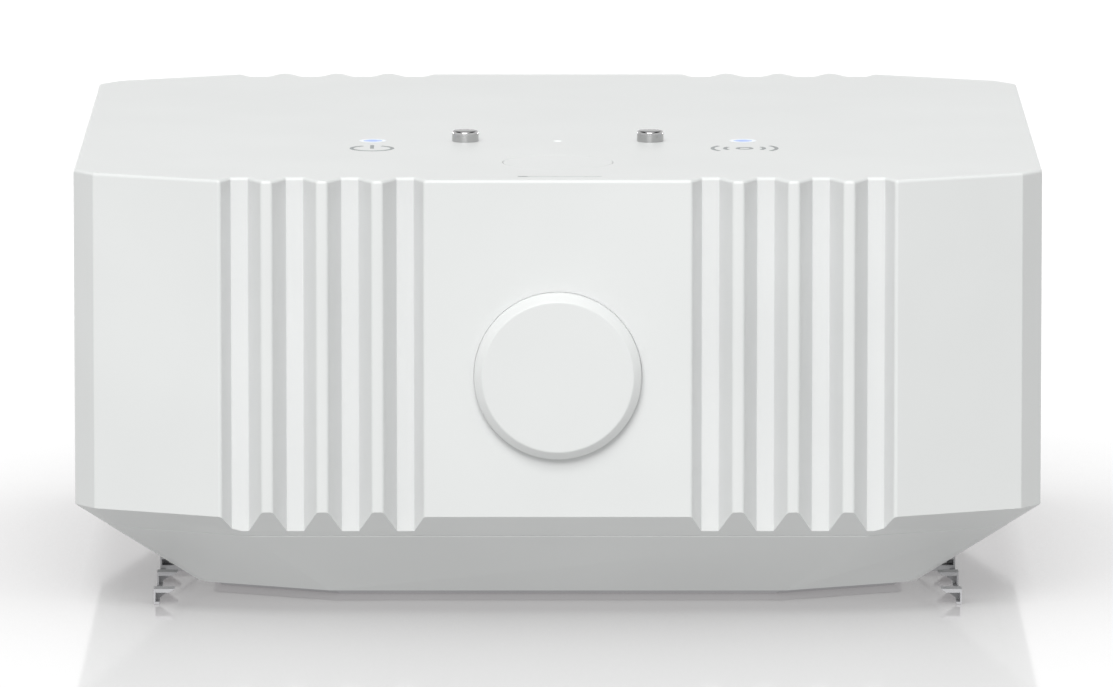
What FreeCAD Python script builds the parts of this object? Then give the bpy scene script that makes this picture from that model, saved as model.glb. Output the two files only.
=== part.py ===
"""Battery environmental sensor on a thin wall plate, as separate solids.

Millimetres. The sensor lies on its back: +Z runs out of the face, +X to the right and +Y towards
the upper end, which points up when the sensor hangs on a wall. The origin is the centre of the
wall plate's back, which is also the surface that the sensor rests on.
"""
import FreeCAD, Part
import math
import os

from FreeCAD import Vector

# Overall block
HOUSING_WIDTH = 88.0
HOUSING_DEPTH = 80.0
FACE_HEIGHT = 39.67
FACET_WIDTH = 11.65
FACET_END_DROP = 5.2
CORNER_WIDTH = 1.85
CORNER_END_DROP = 7.8
FACE_EDGE_RADIUS = 0.45
EDGE_TOLERANCE = 0.01

# Tapered back
WALL_FOOT_HEIGHT = 8.87
PARTING_HEIGHT = 6.87
TAPER_FLAT_INSET = 9.94
TAPER_FACET_INSET = 13.0
TAPER_CORNER_INSET = 13.8
TAPER_SIDE_INSET = 11.0
TAPER_OVERRUN = 1.2
ENVELOPE_ROOM = 2.4

# Grooves and ridges on the two end walls
GROOVE_COUNT = 4
GROOVE_PITCH = 5.0
GROOVE_FLOOR_WIDTH = 1.56
GROOVE_DEPTH = 1.9
RIDGE_PROUD = 0.6
RIDGE_CREST_WIDTH = 0.97
END_FLANK_WIDTH = 0.92

# Housing shell
ROOF_THICKNESS = 2.2
WALL_BEHIND_GROOVE = 2.0
FACET_WALL = 4.5
CORNER_WALL = 4.7
SIDE_WALL = 4.1

# Rear cover
COVER_FLOOR = 2.4
COVER_WALL = 2.6
COVER_CORNER_WALL = 3.4
TONGUE_HEIGHT = 4.0
TONGUE_ROOT = 1.0
TONGUE_WALL = 1.6
TONGUE_CLEARANCE = 0.15
GASKET_FOOT = 1.2
GASKET_HEIGHT = 1.6
GASKET_SEAT_DEPTH = 0.9

# Case screws
CASE_SCREW_SIDE_INSET = 15.5
CASE_SCREW_END_INSET = 18.5
CASE_SCREW_RADIUS = 1.5
CASE_SCREW_LENGTH = 12.0
CASE_SCREW_HEAD_RADIUS = 2.8
CASE_SCREW_HEAD_HEIGHT = 2.0
CASE_SCREW_HEAD_SINK = 0.5
CASE_BOSS_RADIUS = 3.6
COVER_PILLAR_RADIUS = 4.4
COVER_PILLAR_HEIGHT = 4.7
THREAD_CLEARANCE = 0.05
HEAD_CLEARANCE = 0.3
HOLE_CLEARANCE = 0.2
SCREW_END_ROOM = 1.0
DRIVE_ARM_SHARE = 0.3
DRIVE_SPAN_SHARE = 1.2
SEAT_GAP = 0.05
CUT_OVERSHOOT = 1.0

# Wall plate
PLATE_THICKNESS = 0.5
PLATE_INSET = 1.3
PLATE_RELEASE_TRAVEL = 6.0
HOOK_X = 14.0
HOOK_ROOT_Y = 14.0
HOOK_WIDTH = 8.0
HOOK_REACH = 3.0
LEDGE_THICKNESS = 1.4
HOOK_CLEARANCE = 0.3
WALL_SCREW_SPACING = 30.0
WALL_SCREW_HOLE_RADIUS = 2.1
WALL_SCREW_HEAD_RADIUS = 4.0
WALL_SCREW_HEAD_HEIGHT = 2.4
POCKET_ROOF = 1.6
TOOTH_COUNT = 8
TOOTH_END_INSET = 6.33
TOOTH_DEPTH = 1.6
TOOTH_REACH = 1.9
TOOTH_HEIGHT = 1.4
TOOTH_ROOF = 0.34
TOOTH_SHEET = 0.15
RAIL_GAP = 4.6
RAIL_WIDTH = 0.5
RAIL_HEIGHT = 0.2
BRIDGE_COUNT = 4
BRIDGE_ROOT = 1.5

# Round button on the lower end wall
SIDE_BUTTON_RADIUS = 7.58
SIDE_BUTTON_BELOW_FACE = 17.8
SIDE_BUTTON_PROUD = 1.5
SIDE_BUTTON_THICKNESS = 2.1
SIDE_BUTTON_CHAMFER = 0.8
SIDE_BUTTON_TRAVEL = 1.0
SIDE_BUTTON_GAP = 0.1
SIDE_BUTTON_FLOOR_GAP = 0.3
SIDE_STEM_RADIUS = 3.0
SIDE_STEM_END = 6.5
SIDE_GUIDE_LENGTH = 1.5
SIDE_GUIDE_WALL = 1.9
CLIP_THICKNESS = 0.6
CLIP_RADIUS = 4.4
CLIP_GROOVE_DEPTH = 0.5
CLIP_GAP = 0.1
SEAL_RADIUS = 5.2
SEAL_INNER_RADIUS = 3.6
SEAL_LENGTH = 2.3
SEAL_POCKET_CLEARANCE = 0.3
SLIDING_CLEARANCE = 0.08

# Small round button in the face
TOP_BUTTON_RADIUS = 5.0
TOP_BUTTON_FROM_END = 12.7
TOP_BUTTON_TRAVEL = 0.4
TOP_BUTTON_GAP = 0.12
TOP_FLANGE_RADIUS = 6.0
TOP_FLANGE_THICKNESS = 0.9
TOP_FLANGE_GAP = 0.05
TOP_COLLAR_HEIGHT = 3.2
TOP_COLLAR_WALL = 1.4
TOP_SEAL_THICKNESS = 0.6
TOP_STEM_RADIUS = 2.0

# Push switches
SWITCH_SIZE = 6.0
TOP_SWITCH_HEIGHT = 3.5
SIDE_SWITCH_DEPTH = 3.0
SWITCH_FLOOR = 0.6
PLUNGER_RADIUS = 1.75
PLUNGER_SHORT_OF_FLOOR = 0.3

# Boards
BOARD_BELOW_FACE = 11.4
BOARD_THICKNESS = 1.6
BOARD_SIDE_INSET = 8.0
BOARD_LOWER_INSET = 8.5
BOARD_UPPER_INSET = 9.0
BOARD_SCREW_SIDE_INSET = 10.8
BOARD_SCREW_Y = 12.0
BOARD_SCREW_RADIUS = 1.0
BOARD_SCREW_LENGTH = 6.0
BOARD_SCREW_HEAD_RADIUS = 1.9
BOARD_SCREW_HEAD_HEIGHT = 1.3
BOARD_BOSS_RADIUS = 2.7
BOARD_NOTCH_CLEARANCE = 0.6
SWITCH_BOARD_THICKNESS = 1.0
SWITCH_BOARD_WIDTH = 16.0
SWITCH_BOARD_HEIGHT = 13.5
HEADER_WIDTH = 10.0
HEADER_SIZE = 2.5

# Indicators and light window
LAMP_X = 17.1
LAMP_FROM_END = 28.4
LIGHT_PIPE_TIP_RADIUS = 0.875
LIGHT_PIPE_BODY_RADIUS = 1.6
WINDOW_FROM_END = 28.1
WINDOW_TIP_RADIUS = 0.375
WINDOW_BODY_RADIUS = 1.2
PIPE_CLEARANCE = 0.03
LAMP_HEIGHT = 0.7
LAMP_LENGTH = 1.6
LAMP_GAP = 0.3

# Leak contact pins
PIN_X = 8.54
PIN_FROM_END = 28.1
PIN_RADIUS = 1.23
PIN_PROUD = 1.0
PIN_EDGE_RADIUS = 0.25
PIN_SHANK_RADIUS = 0.9
PIN_BOSS_RADIUS = 3.0
PIN_BOSS_DEPTH = 2.8
PIN_SEAT_RADIUS = 2.0
PIN_SEAL_HEIGHT = 1.0
PIN_CONTACT_HEIGHT = 3.0
PIN_CONTACT_WIDTH = 1.6

# Cells and cradle
CELL_RADIUS = 8.5
CELL_LENGTH = 34.5
CELL_PITCH = 19.6
CELL_CLEARANCE = 0.3
CRADLE_FLOOR = 1.6
CRADLE_WALL = 1.6
CRADLE_MOUTH_HALF = 7.6
CONTACT_PLATE_THICKNESS = 0.4
CONTACT_PLATE_RADIUS = 5.0
CELL_SPRING_LENGTH = 3.0
CELL_NUB_RADIUS = 3.2
CELL_NUB_HEIGHT = 1.0

# Parts on the main board
PROCESSOR_X = -12.0
PROCESSOR_Y = 6.0
PROCESSOR_SIZE = 7.0
PROCESSOR_HEIGHT = 0.9
SHIELD_X = 10.0
SHIELD_Y = 8.0
SHIELD_WIDTH = 18.0
SHIELD_DEPTH = 14.0
SHIELD_HEIGHT = 2.4
SHIELD_SHEET = 0.3
ANTENNA_LENGTH = 26.0
ANTENNA_HEIGHT = 5.5
ANTENNA_DEPTH = 5.0
ANTENNA_SHEET = 0.5
ANTENNA_EDGE_GAP = 0.5
CAPACITOR_X = -14.0
CAPACITOR_FROM_BOARD_END = 11.0
CAPACITOR_RADIUS = 3.1
CAPACITOR_LENGTH = 12.0

# Breather and climate sensor
VENT_SIDE_INSET = 21.0
VENT_HOLE_RADIUS = 0.6
VENT_HOLE_CIRCLE = 1.9
VENT_HOLE_COUNT = 5
MEMBRANE_RADIUS = 3.3
MEMBRANE_THICKNESS = 0.3
VENT_COLLAR_RADIUS = 5.0
VENT_COLLAR_HEIGHT = 2.2
CLIMATE_BOARD_SIZE = 12.0
CLIMATE_BOARD_THICKNESS = 1.0
CLIMATE_SENSOR_SIZE = 2.5
CLIMATE_SENSOR_HEIGHT = 0.9
CLIMATE_PIN_RADIUS = 0.32
CLIMATE_PIN_PITCH = 2.54
CLIMATE_PIN_COUNT = 4
PLATE_VENT_RADIUS = 4.0

# Heights and places that follow from the sizes above
FLAT_Y = HOUSING_DEPTH / 2
SIDE_X = HOUSING_WIDTH / 2
FACET_END_X = SIDE_X - CORNER_WIDTH
FLAT_HALF = FACET_END_X - FACET_WIDTH
LAST_GROOVE_X = FLAT_HALF - END_FLANK_WIDTH - GROOVE_FLOOR_WIDTH / 2
GROOVE_FIRST_X = LAST_GROOVE_X - (GROOVE_COUNT - 1) * GROOVE_PITCH
CASE_SCREW_X = SIDE_X - CASE_SCREW_SIDE_INSET
CASE_SCREW_Y = FLAT_Y - CASE_SCREW_END_INSET
SIDE_BUTTON_Z = FACE_HEIGHT - SIDE_BUTTON_BELOW_FACE
TOP_BUTTON_Y = TOP_BUTTON_FROM_END - FLAT_Y
LAMP_Y = LAMP_FROM_END - FLAT_Y
WINDOW_Y = WINDOW_FROM_END - FLAT_Y
PIN_Y = PIN_FROM_END - FLAT_Y
BOARD_UNDERSIDE = FACE_HEIGHT - BOARD_BELOW_FACE
BOARD_HALF_WIDTH = SIDE_X - BOARD_SIDE_INSET
BOARD_LOWER_END = BOARD_LOWER_INSET - FLAT_Y
BOARD_UPPER_END = FLAT_Y - BOARD_UPPER_INSET
BOARD_SCREW_X = SIDE_X - BOARD_SCREW_SIDE_INSET
CAPACITOR_Y = BOARD_UPPER_END - CAPACITOR_FROM_BOARD_END
VENT_X = SIDE_X - VENT_SIDE_INSET
PLATE_EDGE_X = SIDE_X - TAPER_SIDE_INSET - PLATE_INSET
RAIL_INNER_X = PLATE_EDGE_X + RAIL_GAP
RAIL_OUTER_X = RAIL_INNER_X + RAIL_WIDTH
TOOTH_END_Y = FLAT_Y - TOOTH_END_INSET
TOOTH_PITCH = 2 * TOOTH_END_Y / (TOOTH_COUNT - 1)
COVER_UNDERSIDE = PLATE_THICKNESS + SEAT_GAP
COVER_FLOOR_TOP = COVER_UNDERSIDE + COVER_FLOOR
ROOF_INSIDE = FACE_HEIGHT - ROOF_THICKNESS
TONGUE_TOP = PARTING_HEIGHT + TONGUE_HEIGHT
BOARD_TOP = BOARD_UNDERSIDE + BOARD_THICKNESS
INNER_FLAT_INSET = GROOVE_DEPTH + WALL_BEHIND_GROOVE
CAVITY_INSETS = (INNER_FLAT_INSET, FACET_WALL, CORNER_WALL, SIDE_WALL)
TAPER_INSETS = (TAPER_FLAT_INSET, TAPER_FACET_INSET, TAPER_CORNER_INSET, TAPER_SIDE_INSET)
COVER_WALLS = (COVER_WALL, COVER_WALL, COVER_CORNER_WALL, COVER_WALL)
PILLAR_TOP = COVER_UNDERSIDE + COVER_PILLAR_HEIGHT
HOOK_UNDERSIDE = COVER_UNDERSIDE + LEDGE_THICKNESS + HOOK_CLEARANCE
HOOK_TOP = HOOK_UNDERSIDE + PLATE_THICKNESS
HOOK_POCKET_TOP = HOOK_TOP + HOOK_CLEARANCE
SCREW_POCKET_TOP = PLATE_THICKNESS + WALL_SCREW_HEAD_HEIGHT + HOOK_CLEARANCE
SIDE_BUTTON_BACK_Y = -FLAT_Y - SIDE_BUTTON_PROUD + SIDE_BUTTON_THICKNESS
SIDE_RECESS_Y = SIDE_BUTTON_BACK_Y + SIDE_BUTTON_TRAVEL + SIDE_BUTTON_FLOOR_GAP
INNER_WALL_Y = -FLAT_Y + INNER_FLAT_INSET
SIDE_GUIDE_Y = INNER_WALL_Y + SIDE_GUIDE_LENGTH
SIDE_STEM_Y = -FLAT_Y + SIDE_STEM_END
SIDE_SWITCH_FRONT_Y = SIDE_STEM_Y + SEAT_GAP + SIDE_BUTTON_TRAVEL
SIDE_SWITCH_BACK_Y = SIDE_SWITCH_FRONT_Y + SIDE_SWITCH_DEPTH
SWITCH_BOARD_BACK_Y = SIDE_SWITCH_BACK_Y + SWITCH_BOARD_THICKNESS
TOP_SWITCH_TOP = BOARD_TOP + TOP_SWITCH_HEIGHT
COLLAR_FOOT = ROOF_INSIDE - TOP_COLLAR_HEIGHT
TOP_STEM_FOOT = TOP_SWITCH_TOP + TOP_BUTTON_TRAVEL + 2 * SEAT_GAP
CELL_Z = BOARD_UNDERSIDE - CRADLE_FLOOR - CELL_CLEARANCE - CELL_RADIUS
CELL_X = CELL_PITCH / 2
VENT_COLLAR_TOP = COVER_FLOOR_TOP + VENT_COLLAR_HEIGHT
CLIMATE_BOARD_TOP = VENT_COLLAR_TOP + CLIMATE_BOARD_THICKNESS

UP = Vector(0, 0, 1)
INWARD = Vector(0, 1, 0)


def box(x_low, x_high, y_low, y_high, z_low, z_high):
    """A block between two corners."""
    return Part.makeBox(x_high - x_low, y_high - y_low, z_high - z_low, Vector(x_low, y_low, z_low))


def centred_box(x, y, width, depth, z_low, z_high):
    """A block centred on x and y."""
    return box(x - width / 2, x + width / 2, y - depth / 2, y + depth / 2, z_low, z_high)


def disc(x, y, radius, z_low, z_high):
    """An upright round solid."""
    return Part.makeCylinder(radius, z_high - z_low, Vector(x, y, z_low), UP)


def ring(x, y, inner, outer, z_low, z_high):
    """An upright round solid with a hole."""
    return disc(x, y, outer, z_low, z_high).cut(disc(x, y, inner, z_low, z_high))


def end_disc(radius, y_low, y_high):
    """A round solid on the side button's axis."""
    return Part.makeCylinder(radius, y_high - y_low, Vector(0, y_low, SIDE_BUTTON_Z), INWARD)


def end_ring(inner, outer, y_low, y_high):
    """A ring on the side button's axis."""
    return end_disc(outer, y_low, y_high).cut(end_disc(inner, y_low, y_high))


def mirrored_corners(x, y):
    """The four places that x and y give by mirroring."""
    return [(sx * x, sy * y) for sx in (1, -1) for sy in (1, -1)]


def line_through(first, second):
    """A wall line's outward unit normal and its distance from the centre."""
    dx = second[0] - first[0]
    dy = second[1] - first[1]
    length = math.hypot(dx, dy)
    normal = (-dy / length, dx / length)
    if normal[0] * first[0] + normal[1] * first[1] < 0:
        normal = (-normal[0], -normal[1])
    return normal, normal[0] * first[0] + normal[1] * first[1]


def meeting_point(first, second):
    """Where two wall lines cross."""
    (nx, ny), reach = first
    (mx, my), other_reach = second
    spread = nx * my - ny * mx
    return (reach * my - ny * other_reach) / spread, (nx * other_reach - reach * mx) / spread


def outline(insets):
    """The block's twelve-sided outline, each kind of wall moved in by its own inset."""
    facet_start = (FLAT_HALF, FLAT_Y)
    facet_end = (FACET_END_X, FLAT_Y - FACET_END_DROP)
    corner_end = (SIDE_X, FLAT_Y - CORNER_END_DROP)
    walls = [
        ((0.0, 1.0), FLAT_Y),
        line_through(facet_start, facet_end),
        line_through(facet_end, corner_end),
        ((1.0, 0.0), SIDE_X),
    ]
    moved = [(normal, reach - inset) for (normal, reach), inset in zip(walls, insets)]
    quarter = [meeting_point(moved[i], moved[i + 1]) for i in range(3)]
    upper = [(-x, y) for x, y in quarter[::-1]] + quarter
    lower = [(x, -y) for x, y in upper[::-1]]
    return upper + lower


def even_insets(amount):
    """The same inset on every kind of wall."""
    return (amount,) * 4


def insets_with(insets, extra):
    """Insets with one more distance added to each."""
    return tuple(inset + extra for inset in insets)


def added_insets(first, second):
    """Two sets of insets added wall by wall."""
    return tuple(a + b for a, b in zip(first, second))


def taper_insets(height):
    """How far the tapered back stands in at a height."""
    share = (WALL_FOOT_HEIGHT - height) / (WALL_FOOT_HEIGHT - COVER_UNDERSIDE)
    return tuple(inset * share for inset in TAPER_INSETS)


def closed_wire(points, height):
    """A closed wire through flat points at a height."""
    corners = [Vector(x, y, height) for x, y in points]
    return Part.makePolygon(corners + corners[:1])


def prism(points, z_low, z_high):
    """An upright solid over a flat outline."""
    return Part.Face(closed_wire(points, z_low)).extrude(Vector(0, 0, z_high - z_low))


def taper(lower_insets, z_low, upper_insets, z_high):
    """A solid with flat slanted walls between two outlines."""
    wires = [closed_wire(outline(lower_insets), z_low), closed_wire(outline(upper_insets), z_high)]
    return Part.makeLoft(wires, True, True)


def end_wall_points():
    """The right half of the upper end wall in plan, from the centre flat to the facet."""
    floor_y = FLAT_Y - GROOVE_DEPTH
    crest_y = FLAT_Y + RIDGE_PROUD
    half_floor = GROOVE_FLOOR_WIDTH / 2
    half_crest = RIDGE_CREST_WIDTH / 2
    points = [(GROOVE_FIRST_X - half_floor - END_FLANK_WIDTH, FLAT_Y)]
    for index in range(GROOVE_COUNT):
        centre = GROOVE_FIRST_X + index * GROOVE_PITCH
        points += [(centre - half_floor, floor_y), (centre + half_floor, floor_y)]
        if index < GROOVE_COUNT - 1:
            ridge = centre + GROOVE_PITCH / 2
            points += [(ridge - half_crest, crest_y), (ridge + half_crest, crest_y)]
    points.append((FLAT_HALF, FLAT_Y))
    return points


def grooved_outline():
    """The block's outline with the grooves and ridges of both end walls."""
    corner = outline(even_insets(0.0))[4:6]
    right = end_wall_points() + corner
    upper = [(-x, y) for x, y in right[::-1]] + right
    lower = [(x, -y) for x, y in upper[::-1]]
    return upper + lower


def block_envelope(z_low):
    """Everything inside the tapered back, from a height up."""
    z_turn = WALL_FOOT_HEIGHT + TAPER_OVERRUN
    slanted = taper(taper_insets(z_low), z_low, taper_insets(z_turn), z_turn)
    straight = prism(outline(even_insets(-ENVELOPE_ROOM)), z_turn, FACE_HEIGHT)
    return slanted, straight


def block_outside():
    """The front housing's outer shape above the parting line."""
    walls = prism(grooved_outline(), PARTING_HEIGHT, FACE_HEIGHT)
    face_edges = [edge for edge in walls.Edges
                  if min(vertex.Point.z for vertex in edge.Vertexes) > FACE_HEIGHT - EDGE_TOLERANCE]
    walls = walls.makeFillet(FACE_EDGE_RADIUS, face_edges)
    slanted, straight = block_envelope(PARTING_HEIGHT)
    return walls.common(slanted).fuse(walls.common(straight)).removeSplitter()


def front_housing():
    """Face and walls in one moulding, with its bosses and guides inside."""
    body = block_outside()
    body = body.cut(prism(outline(CAVITY_INSETS), PARTING_HEIGHT, ROOF_INSIDE))
    for x, y in mirrored_corners(CASE_SCREW_X, CASE_SCREW_Y):
        body = body.fuse(disc(x, y, CASE_BOSS_RADIUS, PILLAR_TOP + SEAT_GAP, ROOF_INSIDE))
    for x, y in mirrored_corners(BOARD_SCREW_X, BOARD_SCREW_Y):
        body = body.fuse(disc(x, y, BOARD_BOSS_RADIUS, BOARD_TOP, ROOF_INSIDE))
    for side in (1, -1):
        pin_boss_foot = ROOF_INSIDE - PIN_BOSS_DEPTH
        body = body.fuse(disc(side * PIN_X, PIN_Y, PIN_BOSS_RADIUS, pin_boss_foot, ROOF_INSIDE))
    collar_outer = TOP_FLANGE_RADIUS + SLIDING_CLEARANCE + TOP_COLLAR_WALL
    body = body.fuse(disc(0, TOP_BUTTON_Y, collar_outer, COLLAR_FOOT, ROOF_INSIDE))
    guide_outer = SIDE_STEM_RADIUS + SLIDING_CLEARANCE + SIDE_GUIDE_WALL
    body = body.fuse(end_disc(guide_outer, INNER_WALL_Y, SIDE_GUIDE_Y))
    for cutter in front_housing_holes():
        body = body.cut(cutter)
    return body.removeSplitter()


def front_housing_holes():
    """What is cut out of the front housing."""
    screw_end = COVER_UNDERSIDE + CASE_SCREW_HEAD_SINK + CASE_SCREW_HEAD_HEIGHT + CASE_SCREW_LENGTH
    holes = []
    for x, y in mirrored_corners(CASE_SCREW_X, CASE_SCREW_Y):
        holes.append(disc(x, y, CASE_SCREW_RADIUS + THREAD_CLEARANCE, PILLAR_TOP, screw_end + SCREW_END_ROOM))
    for x, y in mirrored_corners(BOARD_SCREW_X, BOARD_SCREW_Y):
        hole_end = BOARD_UNDERSIDE + BOARD_SCREW_LENGTH + HOLE_CLEARANCE
        holes.append(disc(x, y, BOARD_SCREW_RADIUS + THREAD_CLEARANCE, BOARD_TOP, hole_end))
    for side in (1, -1):
        x = side * PIN_X
        boss_foot = ROOF_INSIDE - PIN_BOSS_DEPTH
        holes.append(disc(x, PIN_Y, PIN_SHANK_RADIUS + PIPE_CLEARANCE, boss_foot, FACE_HEIGHT))
        holes.append(disc(x, PIN_Y, PIN_SEAT_RADIUS, boss_foot, boss_foot + 2 * PIN_SEAL_HEIGHT))
        lamp_hole_radius = LIGHT_PIPE_TIP_RADIUS + PIPE_CLEARANCE
        holes.append(disc(side * LAMP_X, LAMP_Y, lamp_hole_radius, ROOF_INSIDE, FACE_HEIGHT))
    holes.append(disc(0, WINDOW_Y, WINDOW_TIP_RADIUS + PIPE_CLEARANCE, ROOF_INSIDE, FACE_HEIGHT))
    holes.append(disc(0, TOP_BUTTON_Y, TOP_BUTTON_RADIUS + TOP_BUTTON_GAP, ROOF_INSIDE, FACE_HEIGHT))
    holes.append(disc(0, TOP_BUTTON_Y, TOP_FLANGE_RADIUS + SLIDING_CLEARANCE, COLLAR_FOOT, ROOF_INSIDE))
    holes.append(end_disc(SIDE_BUTTON_RADIUS + SIDE_BUTTON_GAP, -FLAT_Y - CUT_OVERSHOOT, SIDE_RECESS_Y))
    holes.append(end_disc(SIDE_STEM_RADIUS + SLIDING_CLEARANCE, SIDE_RECESS_Y, SIDE_GUIDE_Y))
    return holes


def hook_places():
    """Each hook's centre in X and the place of its upright in Y."""
    return [(side * HOOK_X, y) for side in (1, -1) for y in (HOOK_ROOT_Y, -HOOK_ROOT_Y)]


def hook_pocket(x, y, grow, roof):
    """The room that one hook needs inside the cover over its whole travel."""
    half = HOOK_WIDTH / 2 + HOOK_CLEARANCE + grow
    y_low = y - PLATE_RELEASE_TRAVEL - HOOK_CLEARANCE - grow
    y_high = y + HOOK_REACH + HOOK_CLEARANCE + grow
    return box(x - half, x + half, y_low, y_high, COVER_UNDERSIDE + LEDGE_THICKNESS - grow, roof)


def hook_window(x, y):
    """The opening in the cover's underside that one hook enters by."""
    half = HOOK_WIDTH / 2 + HOOK_CLEARANCE
    y_low = y - PLATE_RELEASE_TRAVEL - HOOK_CLEARANCE
    y_high = y + PLATE_THICKNESS + HOOK_CLEARANCE
    return box(x - half, x + half, y_low, y_high, 0.0, COVER_UNDERSIDE + LEDGE_THICKNESS)


def screw_pocket(y, grow, roof):
    """The room that one wall screw's head needs inside the cover over the plate's travel."""
    reach = WALL_SCREW_HEAD_RADIUS + HOOK_CLEARANCE + grow
    return box(-reach, reach, y - PLATE_RELEASE_TRAVEL - reach, y + reach, 0.0, roof)


def tongue(z_low, z_high, outer_extra, thickness):
    """A closed band just inside the housing's walls."""
    outer = prism(outline(insets_with(CAVITY_INSETS, outer_extra)), z_low, z_high)
    return outer.cut(prism(outline(insets_with(CAVITY_INSETS, outer_extra + thickness)), z_low, z_high))


def rear_cover():
    """Tapered tray with a sealing tongue, screw pillars, hook ledges and the breather seat."""
    body = taper(taper_insets(COVER_UNDERSIDE), COVER_UNDERSIDE,
                 taper_insets(PARTING_HEIGHT - SEAT_GAP), PARTING_HEIGHT - SEAT_GAP)
    inside_low = added_insets(taper_insets(COVER_FLOOR_TOP), COVER_WALLS)
    inside_high = added_insets(taper_insets(PARTING_HEIGHT), COVER_WALLS)
    body = body.cut(taper(inside_low, COVER_FLOOR_TOP, inside_high, PARTING_HEIGHT))
    body = body.fuse(tongue(PARTING_HEIGHT - TONGUE_ROOT, TONGUE_TOP, TONGUE_CLEARANCE, TONGUE_WALL))
    for x, y in mirrored_corners(CASE_SCREW_X, CASE_SCREW_Y):
        body = body.fuse(disc(x, y, COVER_PILLAR_RADIUS, COVER_UNDERSIDE, PILLAR_TOP))
    for x, y in hook_places():
        bump = hook_pocket(x, y, POCKET_ROOF, HOOK_POCKET_TOP + POCKET_ROOF)
        body = body.fuse(bump.common(body_room()))
    for y in (WALL_SCREW_SPACING / 2, -WALL_SCREW_SPACING / 2):
        bump = screw_pocket(y, POCKET_ROOF, SCREW_POCKET_TOP + POCKET_ROOF)
        body = body.fuse(bump.common(body_room()))
    body = body.fuse(disc(VENT_X, 0, VENT_COLLAR_RADIUS, COVER_FLOOR_TOP, VENT_COLLAR_TOP))
    for cutter in rear_cover_holes():
        body = body.cut(cutter)
    return body.removeSplitter()


def body_room():
    """The space above the cover's floor, for what stands up from it."""
    return box(-SIDE_X, SIDE_X, -FLAT_Y, FLAT_Y, COVER_UNDERSIDE, BOARD_UNDERSIDE)


def rear_cover_holes():
    """What is cut out of the rear cover."""
    head_top = COVER_UNDERSIDE + CASE_SCREW_HEAD_SINK + CASE_SCREW_HEAD_HEIGHT
    holes = []
    for x, y in mirrored_corners(CASE_SCREW_X, CASE_SCREW_Y):
        holes.append(disc(x, y, CASE_SCREW_HEAD_RADIUS + HEAD_CLEARANCE, 0.0, head_top))
        holes.append(disc(x, y, CASE_SCREW_RADIUS + HOLE_CLEARANCE, 0.0, PILLAR_TOP))
    for x, y in hook_places():
        holes.append(hook_pocket(x, y, 0.0, HOOK_POCKET_TOP))
        holes.append(hook_window(x, y))
    for y in (WALL_SCREW_SPACING / 2, -WALL_SCREW_SPACING / 2):
        holes.append(screw_pocket(y, 0.0, SCREW_POCKET_TOP))
    seat_radius = MEMBRANE_RADIUS + PIPE_CLEARANCE
    holes.append(disc(VENT_X, 0, seat_radius, COVER_FLOOR_TOP, VENT_COLLAR_TOP))
    for index in range(VENT_HOLE_COUNT):
        angle = 2 * math.pi * index / VENT_HOLE_COUNT
        x = VENT_X + VENT_HOLE_CIRCLE * math.cos(angle)
        holes.append(disc(x, VENT_HOLE_CIRCLE * math.sin(angle), VENT_HOLE_RADIUS, 0.0, COVER_FLOOR_TOP))
    groove_foot = PARTING_HEIGHT + GASKET_FOOT
    holes.append(tongue(groove_foot, groove_foot + GASKET_HEIGHT, TONGUE_CLEARANCE, GASKET_SEAT_DEPTH))
    return holes


def housing_gasket():
    """Soft ring in the tongue's groove, against the housing's inner wall."""
    groove_foot = PARTING_HEIGHT + GASKET_FOOT
    return tongue(groove_foot, groove_foot + GASKET_HEIGHT, 0.0, TONGUE_CLEARANCE + GASKET_SEAT_DEPTH)


def screw(x, y, head_foot, head_height, head_radius, shank_radius, shank_length):
    """One screw that points up, with a cross-shaped drive in its head."""
    head_top = head_foot + head_height
    solid = disc(x, y, head_radius, head_foot, head_top)
    solid = solid.fuse(disc(x, y, shank_radius, head_top, head_top + shank_length))
    arm = head_radius * DRIVE_ARM_SHARE
    span = head_radius * DRIVE_SPAN_SHARE
    for width, depth in ((arm, span), (span, arm)):
        solid = solid.cut(centred_box(x, y, width, depth, head_foot, head_foot + head_height / 2))
    return solid.removeSplitter()


def case_screws():
    """Four screws that hold the rear cover to the front housing."""
    foot = COVER_UNDERSIDE + CASE_SCREW_HEAD_SINK
    return [screw(x, y, foot, CASE_SCREW_HEAD_HEIGHT, CASE_SCREW_HEAD_RADIUS, CASE_SCREW_RADIUS,
                  CASE_SCREW_LENGTH)
            for x, y in mirrored_corners(CASE_SCREW_X, CASE_SCREW_Y)]


def board_screws():
    """Four screws that hold the main board to the front housing."""
    foot = BOARD_UNDERSIDE - BOARD_SCREW_HEAD_HEIGHT
    return [screw(x, y, foot, BOARD_SCREW_HEAD_HEIGHT, BOARD_SCREW_HEAD_RADIUS, BOARD_SCREW_RADIUS,
                  BOARD_SCREW_LENGTH)
            for x, y in mirrored_corners(BOARD_SCREW_X, BOARD_SCREW_Y)]


def rail_tooth(side, y):
    """One folded tooth of a side rail: a roof, an outer wall and a slanted web at its upper end."""
    y_low = y - TOOTH_DEPTH / 2
    profile = [
        Vector(side * RAIL_OUTER_X, y_low, 0),
        Vector(side * RAIL_OUTER_X, y_low, TOOTH_HEIGHT),
        Vector(side * (RAIL_OUTER_X - TOOTH_REACH), y_low, TOOTH_HEIGHT),
    ]
    tooth = Part.Face(Part.makePolygon(profile + profile[:1])).extrude(Vector(0, TOOTH_DEPTH, 0))
    x_low, x_high = sorted((side * (RAIL_OUTER_X - TOOTH_REACH), side * (RAIL_OUTER_X - TOOTH_SHEET)))
    y_high = y_low + TOOTH_DEPTH - TOOTH_SHEET
    return tooth.cut(box(x_low, x_high, y_low, y_high, 0.0, TOOTH_HEIGHT - TOOTH_ROOF))


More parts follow.
